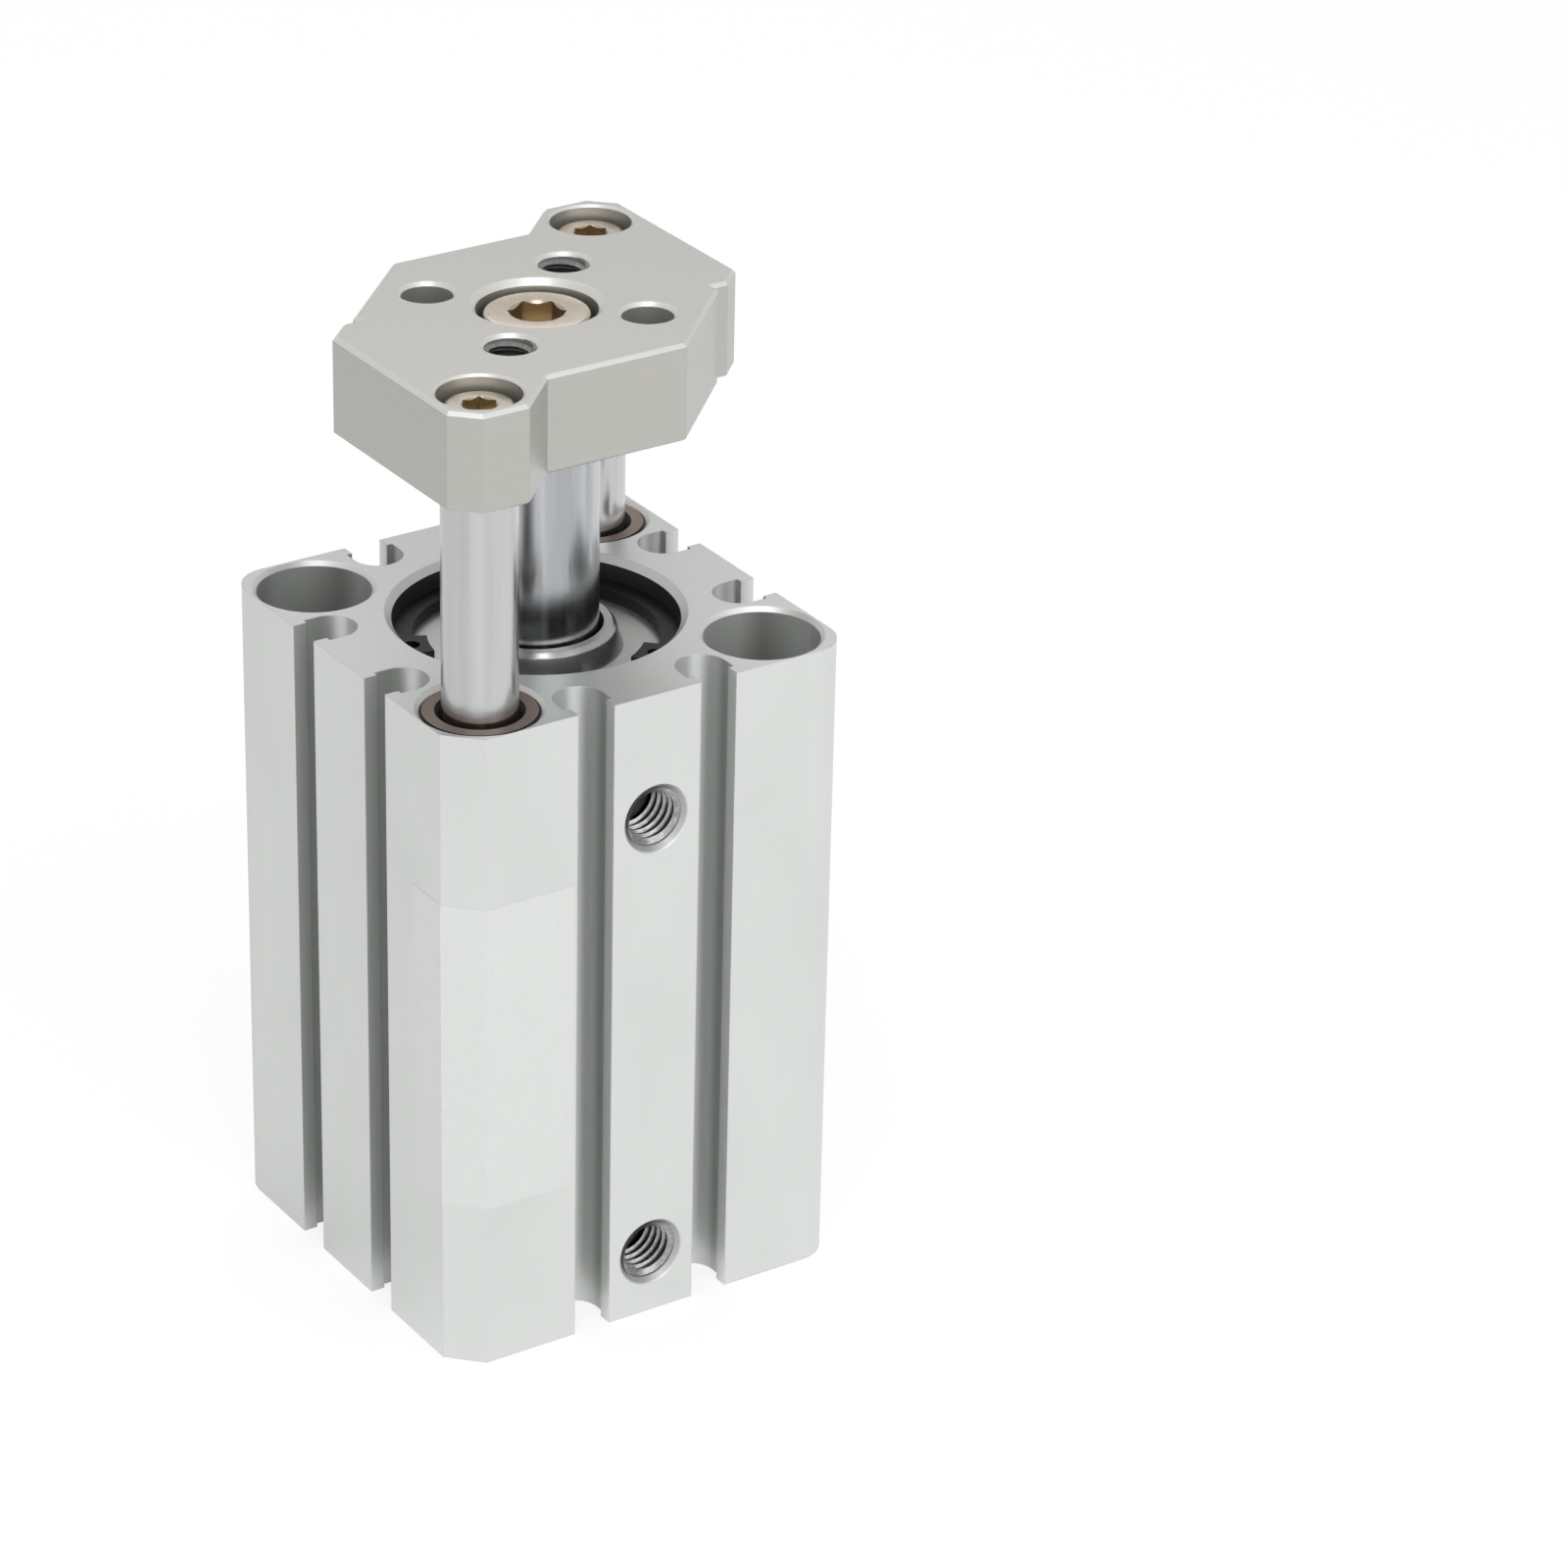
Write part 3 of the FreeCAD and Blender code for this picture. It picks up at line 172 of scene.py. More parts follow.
def anodised_extrusion(colour):
    """Clear-anodised 6063 aluminium, extruded and etched."""
    material, tree = new_material("clear_anodised_aluminium_extrusion")
    # The etch before anodising leaves an even satin grain, here a few times coarser than the real one so
    # that it shows. Die lines along the length barely show.
    lines = grain(tree, (0.5, 0.5, 60.0), 3.0)
    etch = grain(tree, (0.14, 0.14, 0.14))
    cloud = grain(tree, (9.0, 9.0, 16.0))
    cloudy = add(tree, "ShaderNodeMapRange", {"Value": cloud, "From Min": 0.4, "From Max": 0.8})
    place = add(tree, "ShaderNodeTexCoord").outputs["Object"]
    split = add(tree, "ShaderNodeSeparateXYZ", {0: place}).outputs
    ends, chamfers = level_faces(tree)

    # Painted shade inside the grooves and holes: their walls are painted greyer, most of all just behind the
    # lips, and the painted shade is taken off again deeper in.
    depth = barrel_depth(tree)
    recess_painted_shade = add(tree, "ShaderNodeMapRange", {
        "Value": depth, "From Min": 0.1 * MM, "From Max": 2.2 * MM})
    inmost = add(tree, "ShaderNodeMapRange", {
        "Value": depth, "From Min": 2.6 * MM, "From Max": 4.2 * MM})

    # Painted shade in the ports: their countersunk mouths are painted darker and, more, the floors behind
    # their threads.
    aside = add(tree, "ShaderNodeMath", {0: split["X"]}, operation="ABSOLUTE")
    ports = add(tree, "ShaderNodeMath", {0: aside, 1: PORT_MOUTH}, operation="LESS_THAN")
    port_mouth_shade = add(tree, "ShaderNodeMapRange", {
        "Value": depth, "From Min": 0.02 * MM, "From Max": 0.15 * MM})
    port_mouth_shade = add(tree, "ShaderNodeMath", {0: port_mouth_shade, 1: ports}, operation="MULTIPLY")
    port_floor_shade = add(tree, "ShaderNodeMapRange", {
        "Value": depth, "From Min": 3.0 * MM, "From Max": 4.2 * MM})
    port_floor_shade = add(tree, "ShaderNodeMath", {0: port_floor_shade, 1: ports}, operation="MULTIPLY")

    # The ends are milled after extrusion: a touch greyer and glossier, with faint cutter arcs.
    cutter = arcs(tree, (60.0, -90.0), 0.3)
    milled = add(tree, "ShaderNodeMix", {
        "Factor": cutter, "A": linear("#D3D5D3"), "B": linear("#D8DAD8")}, data_type="RGBA")

    # The bore is honed and hard, and it is painted a much darker grey than the outside: painted shade for the
    # dark it mirrors inside the barrel.
    flat = add(tree, "ShaderNodeVectorMath", {0: place, 1: (1, 1, 0)}, operation="MULTIPLY")
    radius = add(tree, "ShaderNodeVectorMath", {0: flat}, operation="LENGTH")
    bore_painted_shade = add(tree, "ShaderNodeMath", {0: radius, 1: BORED_RADIUS}, operation="LESS_THAN")
    for mask in (ends, chamfers):
        bore_painted_shade = add(tree, "ShaderNodeMath", {0: bore_painted_shade, 1: mask}, operation="SUBTRACT", use_clamp=True)

    # The chamfers at the ends are cut after anodising, so they're bare and bright, and their near white is
    # also a painted highlight.
    end_band = 1.5 * MM
    middle = (BARREL_LOW.z + BARREL_HIGH.z) / 2
    height = add(tree, "ShaderNodeMath", {0: split["Z"], 1: middle}, operation="SUBTRACT")
    height = add(tree, "ShaderNodeMath", {0: height}, operation="ABSOLUTE")
    at_ends = add(tree, "ShaderNodeMath", {
        0: height, 1: BARREL_HIGH.z - middle - end_band}, operation="GREATER_THAN")
    bare_chamfer_highlight = add(tree, "ShaderNodeMath", {0: chamfers, 1: at_ends}, operation="MULTIPLY")

    # Each of these covers the ones before it.
    colour = (*colour, 1.0)
    for mask, paint in (
        (lines, linear("#DDDFDD")), (cloudy, linear("#DADCDA")), (recess_painted_shade, linear("#ACAEAC")),
        (inmost, linear("#DADCDA")), (port_mouth_shade, linear("#B0B2B0")), (port_floor_shade, linear("#3C3D3D")),
        (ends, milled), (bore_painted_shade, linear("#4C4E4E")), (bare_chamfer_highlight, linear("#F0F0EE")),
    ):
        colour = add(tree, "ShaderNodeMix", {"Factor": mask, "A": colour, "B": paint}, data_type="RGBA")
    satin = add(tree, "ShaderNodeMapRange", {
        "Value": etch, "From Min": 0.2, "From Max": 0.8, "To Min": 0.37, "To Max": 0.43})
    rough = add(tree, "ShaderNodeMix", {"Factor": ends, "A": satin, "B": 0.32})
    height = add(tree, "ShaderNodeMix", {"Factor": 0.12, "A": etch, "B": lines})
    height = add(tree, "ShaderNodeMix", {"Factor": ends, "A": height, "B": cutter})
    shader = add(tree, "ShaderNodeBsdfPrincipled", {
        "Base Color": colour, "Metallic": 0.75, "Roughness": rough,
        "Normal": relief(tree, height, 0.0012, 0.12)})
    add(tree, "ShaderNodeOutputMaterial", {"Surface": shader})
    return material


def milled_anodised_plate(colour):
    """Clear-anodised 6061 aluminium plate, milled all over."""
    material, tree = new_material("clear_anodised_milled_aluminium_plate")
    # The alloy takes the anodising warmer than the extrusion. Cutter arcs cross its flat faces, and its
    # sides carry the fine level lines of an end mill, both nearly hidden by the etch, which is as coarse
    # as the barrel's.
    arc_marks = arcs(tree, (-50.0, 70.0), 0.3)
    side_marks = grain(tree, (25.0, 25.0, 0.3))
    etch = grain(tree, (0.14, 0.14, 0.14))
    ends, chamfers = level_faces(tree)
    flats = add(tree, "ShaderNodeMix", {
        "Factor": arc_marks, "A": linear("#C8C7C3"), "B": linear("#CCCBC7")}, data_type="RGBA")
    sides = add(tree, "ShaderNodeMix", {
        "Factor": side_marks, "A": (*colour, 1.0), "B": linear("#BFBEB9")}, data_type="RGBA")
    colour = add(tree, "ShaderNodeMix", {"Factor": ends, "A": sides, "B": flats}, data_type="RGBA")
    # The chamfers are painted near white: bare metal where they are cut after anodising, and a painted
    # highlight as well.
    colour = add(tree, "ShaderNodeMix", {
        "Factor": chamfers, "A": colour, "B": linear("#F0F0EC")}, data_type="RGBA")
    satin = add(tree, "ShaderNodeMapRange", {
        "Value": etch, "From Min": 0.2, "From Max": 0.8, "To Min": 0.33, "To Max": 0.39})
    height = add(tree, "ShaderNodeMix", {"Factor": 0.12, "A": etch, "B": side_marks})
    height = add(tree, "ShaderNodeMix", {"Factor": ends, "A": height, "B": arc_marks})
    shader = add(tree, "ShaderNodeBsdfPrincipled", {
        "Base Color": colour, "Metallic": 0.75, "Roughness": satin,
        "Normal": relief(tree, height, 0.0012, 0.12)})
    add(tree, "ShaderNodeOutputMaterial", {"Surface": shader})
    return material


def chromed_steel(name, dark, pale):
    """Hard chrome on ground steel."""
    material, tree = new_material(name)
    # Grinding leaves a soft mirror with very fine rings, here 0.15 mm apart so that they show, and sliding
    # leaves faint streaks along the rod.
    rings = grain(tree, (30.0, 30.0, 0.15))
    streaks = grain(tree, (0.9, 0.9, 30.0), 3.0)
    colour = add(tree, "ShaderNodeMix", {
        "Factor": add(tree, "ShaderNodeMapRange", {"Value": streaks, "From Min": 0.35, "From Max": 0.65}),
        "A": linear(dark), "B": linear(pale)}, data_type="RGBA")
    rough = add(tree, "ShaderNodeMapRange", {
        "Value": streaks, "From Min": 0.3, "From Max": 0.7, "To Min": 0.18, "To Max": 0.26})
    shader = add(tree, "ShaderNodeBsdfPrincipled", {
        "Base Color": colour, "Metallic": 1.0, "Roughness": rough, "Normal": relief(tree, rings, 0.0006)})
    add(tree, "ShaderNodeOutputMaterial", {"Surface": shader})
    return material


def nickel_plated_steel():
    """Electroless nickel on a cold-forged screw."""
    material, tree = new_material("electroless_nickel_on_steel")
    # The plating follows the forged skin: a warm, soft gloss with slight mottling. Upright faces, such as
    # those of the socket, are painted browner.
    mottle = grain(tree, (0.7, 0.7, 0.7), 3.0)
    colour = add(tree, "ShaderNodeMix", {
        "Factor": mottle, "A": linear("#D0C5B6"), "B": linear("#D8CEC0")}, data_type="RGBA")
    level = level_faces(tree)[0]
    colour = add(tree, "ShaderNodeMix", {
        "Factor": level, "A": linear("#D0C2AC"), "B": colour}, data_type="RGBA")
    rough = add(tree, "ShaderNodeMapRange", {
        "Value": mottle, "From Min": 0.3, "From Max": 0.7, "To Min": 0.22, "To Max": 0.28})
    shader = add(tree, "ShaderNodeBsdfPrincipled", {
        "Base Color": colour, "Metallic": 1.0, "Roughness": rough, "Normal": relief(tree, mottle, 0.001)})
    add(tree, "ShaderNodeOutputMaterial", {"Surface": shader})
    return material


def phosphated_spring_steel():
    """Phosphated and oiled spring steel, stamped."""
    material, tree = new_material("phosphated_spring_steel")
    # Phosphate crystals, drawn coarse so that they show, make it black and dull, and the oil gives it a
    # slight sheen.
    crystals = grain(tree, (0.1, 0.1, 0.1))
    colour = add(tree, "ShaderNodeMix", {
        "Factor": crystals, "A": linear("#0B0B0B"), "B": linear("#161514")}, data_type="RGBA")
    shader = add(tree, "ShaderNodeBsdfPrincipled", {
        "Base Color": colour, "Roughness": 0.45, "Specular IOR Level": 0.35,
        "Normal": relief(tree, crystals, 0.002)})
    add(tree, "ShaderNodeOutputMaterial", {"Surface": shader})
    return material


def sintered_bronze():
    """Oil-filled sintered bronze."""
    material, tree = new_material("oil_filled_sintered_bronze")
    # Pressed powder leaves open pores of about 0.1 mm, and the oil in them turns the bronze brown-grey.
    # The chamfers at its mouth and rim are painted almost black: painted shade for the dark gaps at its rim
    # and mouth.
    pores = grain(tree, (0.14, 0.14, 0.14), 3.0)
    chamfers = level_faces(tree)[1]
    colour = add(tree, "ShaderNodeMix", {
        "Factor": add(tree, "ShaderNodeMapRange", {"Value": pores, "From Min": 0.3, "From Max": 0.65}),
        "A": linear("#77675F"), "B": linear("#93847B")}, data_type="RGBA")
    colour = add(tree, "ShaderNodeMix", {
        "Factor": chamfers, "A": colour, "B": linear("#1D1512")}, data_type="RGBA")
    shader = add(tree, "ShaderNodeBsdfPrincipled", {
        "Base Color": colour, "Metallic": 0.6, "Roughness": 0.45, "Normal": relief(tree, pores, 0.003)})
    add(tree, "ShaderNodeOutputMaterial", {"Surface": shader})
    return material


def turned_aluminium():
    """Turned and clear-anodised 6061 aluminium."""
    material, tree = new_material("turned_anodised_aluminium")
    # The lathe leaves fine rings round the axis. Upright faces are bright enough to mirror their dark
    # neighbours, and faced ones are duller.
    rings = arcs(tree, (0.0, 0.0), 0.14)
    colour = add(tree, "ShaderNodeMix", {
        "Factor": rings, "A": linear("#BEBEBC"), "B": linear("#C6C6C4")}, data_type="RGBA")
    rough = add(tree, "ShaderNodeMix", {"Factor": level_faces(tree)[0], "A": 0.2, "B": 0.38})
    shader = add(tree, "ShaderNodeBsdfPrincipled", {
        "Base Color": colour, "Metallic": 0.9, "Roughness": rough,
        "Normal": relief(tree, rings, 0.0006, 0.16)})
    add(tree, "ShaderNodeOutputMaterial", {"Surface": shader})
    return material


def cut_aluminium():
    """Bare aluminium, as a tap leaves it."""
    material, tree = new_material("bare_tapped_aluminium")
    # Bright and scraped round the thread, with the dark film of cutting oil in places.
    scrape = grain(tree, (0.4, 0.1, 0.4), 3.0)
    colour = add(tree, "ShaderNodeMix", {
        "Factor": add(tree, "ShaderNodeMapRange", {"Value": scrape, "From Min": 0.35, "From Max": 0.7}),
        "A": linear("#8E8F8F"), "B": linear("#B4B5B4")}, data_type="RGBA")
    shader = add(tree, "ShaderNodeBsdfPrincipled", {
        "Base Color": colour, "Metallic": 1.0, "Roughness": 0.24, "Normal": relief(tree, scrape, 0.001)})
    add(tree, "ShaderNodeOutputMaterial", {"Surface": shader})
    return material


def moulded_rubber(name, dark, pale, roughness):
    """Compression-moulded rubber or bonded powder."""
    material, tree = new_material(name)
    # The mould's blasted face leaves a fine pebble, drawn coarse so that it shows.
    pebble = grain(tree, (0.2, 0.2, 0.2))
    colour = add(tree, "ShaderNodeMix", {
        "Factor": pebble, "A": linear(dark), "B": linear(pale)}, data_type="RGBA")
    shader = add(tree, "ShaderNodeBsdfPrincipled", {
        "Base Color": colour, "Roughness": roughness, "Specular IOR Level": 0.4,
        "Normal": relief(tree, pebble, 0.004)})
    add(tree, "ShaderNodeOutputMaterial", {"Surface": shader})
    return material


def natural_acetal():
    """Natural acetal, machined."""
    material, tree = new_material("natural_acetal")
    # Milky white and a little waxy, with faint clouds from the extruded bar.
    cloud = grain(tree, (2.0, 2.0, 2.0))
    colour = add(tree, "ShaderNodeMix", {
        "Factor": cloud, "A": linear("#E6E5DF"), "B": linear("#F1F0EB")}, data_type="RGBA")
    shader = add(tree, "ShaderNodeBsdfPrincipled", {
        "Base Color": colour, "Roughness": 0.38, "Normal": relief(tree, cloud, 0.002)})
    add(tree, "ShaderNodeOutputMaterial", {"Surface": shader})
    return material


def label_film(colour):
    """Blank polyester label film, cast and laminated."""
    material, tree = new_material("blank_polyester_label_film")
    # Smoother than the metal round it and a shade whiter to the eye, with the faint orange peel of its
    # adhesive.
    peel = grain(tree, (0.8, 0.8, 0.8), 1.0)
    colour = add(tree, "ShaderNodeMix", {
        "Factor": peel, "A": (*colour, 1.0), "B": linear("#DFE1DF")}, data_type="RGBA")
    shader = add(tree, "ShaderNodeBsdfPrincipled", {
        "Base Color": colour, "Roughness": 0.36, "Coat Weight": 0.2, "Coat Roughness": 0.25,
        "Normal": relief(tree, peel, 0.001)})
    add(tree, "ShaderNodeOutputMaterial", {"Surface": shader})
    return material


# ---- sizes and colours that a user would change ----

class FinishSettings(bpy.types.PropertyGroup):
    barrel_colour: FloatVectorProperty(
        name="Barrel", description="Colour of the barrel's anodised sides", default=linear("#E0E2E0")[:3],
        subtype="COLOR", size=3)
    plate_colour: FloatVectorProperty(
        name="End plate", description="Colour of the end plate's anodised sides",
        default=linear("#BBBAB5")[:3], subtype="COLOR", size=3)
    label_colour: FloatVectorProperty(
        name="Label", description="Colour of the blank label", default=linear("#D9DBD9")[:3],
        subtype="COLOR", size=3)


class ThreadSettings(bpy.types.PropertyGroup):
    port_pitch: FloatProperty(
        name="Port thread pitch", description="Pitch of the M5 port threads", default=0.8 * MM, unit="LENGTH")
    plate_pitch: FloatProperty(
        name="Plate thread pitch", description="Pitch of the M4 threads in the end plate",
        default=0.7 * MM, unit="LENGTH")
    depth_share: FloatProperty(
        name="Thread depth", description="Depth of a thread as a share of its pitch", default=0.54,
        subtype="FACTOR", min=0.1, max=0.7)


class ScrewSettings(bpy.types.PropertyGroup):
    ribs: IntProperty(name="Ribs", description="Knurl ribs round each screw's head", default=40, min=12)
    rib_depth: FloatProperty(
        name="Rib depth", description="Depth of the knurl", default=0.09 * MM, unit="LENGTH")
    rim: FloatProperty(
        name="Rim", description="Radius of the rounded edge of each head", default=0.35 * MM, unit="LENGTH")


class LabelSettings(bpy.types.PropertyGroup):
    low: FloatProperty(
        name="Lower edge", description="Height of the label's lower edge", default=14.2 * MM, unit="LENGTH")
    high: FloatProperty(
        name="Upper edge", description="Height of the label's upper edge", default=40.9 * MM, unit="LENGTH")
    reach_left: FloatProperty(
        name="Reach on the side face", description="How far it runs from the corner along the side face",
        default=6.8 * MM, unit="LENGTH")
    reach_front: FloatProperty(
        name="Reach on the port face", description="How far it runs from the corner along the port face",
        default=10.5 * MM, unit="LENGTH")
    thickness: FloatProperty(
        name="Thickness", description="Thickness of the film", default=0.04 * MM, unit="LENGTH")


class StageSettings(bpy.types.PropertyGroup):
    floor_colour: FloatVectorProperty(
        name="Floor", description="Colour of the floor", default=linear("#F2F2F2")[:3],
        subtype="COLOR", size=3)
    world_strength: FloatProperty(
        name="Ambient light", description="Strength of the even light from all round", default=0.56, min=0.0)
    key_power: FloatProperty(
        name="Key lamp", description="Power of the large lamp beside the camera", default=3.4, unit="POWER")
    fill_power: FloatProperty(
        name="Fill lamp", description="Power of the lamp in front of the port face", default=1.0,
        unit="POWER")
    high_power: FloatProperty(
        name="High lamp", description="Power of the small lamp high in front", default=0.4, unit="POWER")
    top_power: FloatProperty(
        name="Top lamp", description="Power of the lamp behind and above", default=0.45, unit="POWER")
    camera_azimuth: FloatProperty(
        name="Camera azimuth", description="Direction the camera stands in, round the object",
        default=math.radians(-31.535), subtype="ANGLE")
    camera_elevation: FloatProperty(
        name="Camera elevation", description="Camera's angle above the horizon",
        default=math.radians(26.518), subtype="ANGLE")
    camera_distance: FloatProperty(
        name="Camera distance", description="Distance from the point that the camera looks at",
        default=450.44 * MM, unit="LENGTH")
    camera_lens: FloatProperty(
        name="Lens", description="Focal length on a 36 mm sensor, in millimetres", default=128.52,
        unit="CAMERA", min=1.0)


# ---- Geometry Nodes ----

def new_geometry_tree(name, inputs):
    """A geometry tree with named inputs, its group input node and its output node."""
    tree = bpy.data.node_groups.new(name, "GeometryNodeTree")
    tree.interface.new_socket("Geometry", in_out="INPUT", socket_type="NodeSocketGeometry")
    for label, kind, default in inputs:
        socket = tree.interface.new_socket(label, in_out="INPUT", socket_type=f"NodeSocket{kind}")
        if default is not None:
            socket.default_value = default
    tree.interface.new_socket("Geometry", in_out="OUTPUT", socket_type="NodeSocketGeometry")
    return tree, tree.nodes.new("NodeGroupInput").outputs, tree.nodes.new("NodeGroupOutput")


def end_tree(tree, output, geometry, material):
    """Finish a geometry tree with realised instances and a material."""
    real = add(tree, "GeometryNodeRealizeInstances", {"Geometry": geometry})
    painted = add(tree, "GeometryNodeSetMaterial", {"Geometry": real, "Material": material})
    tree.links.new(painted.outputs["Geometry"], output.inputs["Geometry"])


def grow(name, tree, body, values, source=()):
    """Run a geometry tree on a line through the source points, and keep its result as a plain mesh.
    Edges that turn less than `crisp` are shaded smooth."""
    crisp = math.radians(32)
    line = bpy.data.meshes.new(f"{name}_source")
    line.from_pydata(source, [(index, index + 1) for index in range(len(source) - 1)], [])
    holder = bpy.data.objects.new(f"{name}_source", line)
    bpy.context.scene.collection.objects.link(holder)
    modifier = holder.modifiers.new("nodes", "NODES")
    modifier.node_group = tree
    sockets = {item.name: item.identifier for item in tree.interface.items_tree if item.in_out == "INPUT"}
    for label, value in values.items():
        modifier[sockets[label]] = value
    holder.update_tag()
    evaluated = holder.evaluated_get(bpy.context.evaluated_depsgraph_get())
    mesh = bpy.data.meshes.new_from_object(evaluated)
    mesh.name = name
    bpy.data.meshes.remove(line)    # and the object that held it
    if not mesh.polygons:
        raise RuntimeError(f"{name} came out empty")
    mesh.shade_smooth()
    mesh.set_sharp_from_angle(angle=crisp)
    # A boolean leaves an empty material slot before the real one.
    mesh.materials.clear()
    mesh.polygons.foreach_set("material_index", [0] * len(mesh.polygons))
    return mesh_piece(name, mesh, body, values["Material"])


def thread_tree():
    """Thread ridges that stand inward from a hole's wall: a trapezium carried along a right-handed helix,
    fading out at both ends."""
    root_share, crest_share = 0.86, 0.2     # widths of the ridge's foot and crest, in pitches
    sunk = 0.01 * MM                        # how far its foot goes into the wall
    fade_turns, least = 0.25, 0.05          # where it reaches its full size, and its size at the very end
    tree, given, output = new_geometry_tree("thread_ridges", (
        ("Radius", "Float", 2.5 * MM), ("Pitch", "Float", 0.8 * MM), ("Length", "Float", 4.5 * MM),
        ("Depth", "Float", 0.43 * MM), ("Place", "Vector", None), ("Turn", "Vector", None),
        ("Material", "Material", None)))
    turns = add(tree, "ShaderNodeMath", {0: given["Length"], 1: given["Pitch"]}, operation="DIVIDE")
    helix = add(tree, "GeometryNodeCurveSpiral", {
        "Resolution": 64, "Rotations": turns, "Start Radius": given["Radius"],
        "End Radius": given["Radius"], "Height": given["Length"], "Reverse": True})
    level = add(tree, "GeometryNodeSetCurveNormal", {"Curve": helix}, mode="Z_UP")
    # The ridge's section stands on the wall, its foot sunk a little so that no gap shows.
    root = add(tree, "ShaderNodeMath", {0: given["Pitch"], 1: root_share}, operation="MULTIPLY")
    crest = add(tree, "ShaderNodeMath", {0: given["Pitch"], 1: crest_share}, operation="MULTIPLY")
    section = add(tree, "GeometryNodeCurvePrimitiveQuadrilateral", {
        "Height": given["Depth"], "Bottom Width": root, "Top Width": crest, "Offset": 0.0}, mode="TRAPEZOID")
    inward = add(tree, "ShaderNodeMath", {0: given["Depth"], 1: -0.5, 2: sunk}, operation="MULTIPLY_ADD")
    aimed = add(tree, "GeometryNodeTransform", {
        "Geometry": section, "Translation": add(tree, "ShaderNodeCombineXYZ", {"X": inward}),
        "Rotation": (0.0, 0.0, math.radians(90))})
    # Turns from the nearer end set how full the ridge is.
    along = add(tree, "GeometryNodeSplineParameter").outputs["Factor"]
    back = add(tree, "ShaderNodeMath", {0: 1.0, 1: along}, operation="SUBTRACT")
    nearer = add(tree, "ShaderNodeMath", {0: along, 1: back}, operation="MINIMUM")
    run_out = add(tree, "ShaderNodeMath", {0: nearer, 1: turns}, operation="MULTIPLY")
    fullness = add(tree, "ShaderNodeMapRange", {
        "Value": run_out, "From Max": fade_turns, "To Min": least})
    ridge = add(tree, "GeometryNodeCurveToMesh", {
        "Curve": level, "Profile Curve": aimed, "Scale": fullness, "Fill Caps": True})
    placed = add(tree, "GeometryNodeTransform", {
        "Geometry": ridge, "Translation": given["Place"], "Rotation": given["Turn"]})
    end_tree(tree, output, placed, given["Material"])
    return tree


def screw_section(head_radius, head_height, shank_radius, shank_length, rim):
    """Half a screw's outline, from the end of its shank to the middle of its head, as radius and height."""
    steps = 5           # faces across the rounded rim
    tip = 0.4 * MM      # chamfer at the end of the shank
    section = [
        (0.0, -shank_length), (shank_radius - tip, -shank_length), (shank_radius, tip - shank_length),
        (shank_radius, 0.0), (head_radius, 0.0)]
    for step in range(steps + 1):
        angle = math.pi / 2 * step / steps
        section.append((head_radius - rim + rim * math.cos(angle), head_height - rim + rim * math.sin(angle)))
    return [*section, (0.0, head_height)]


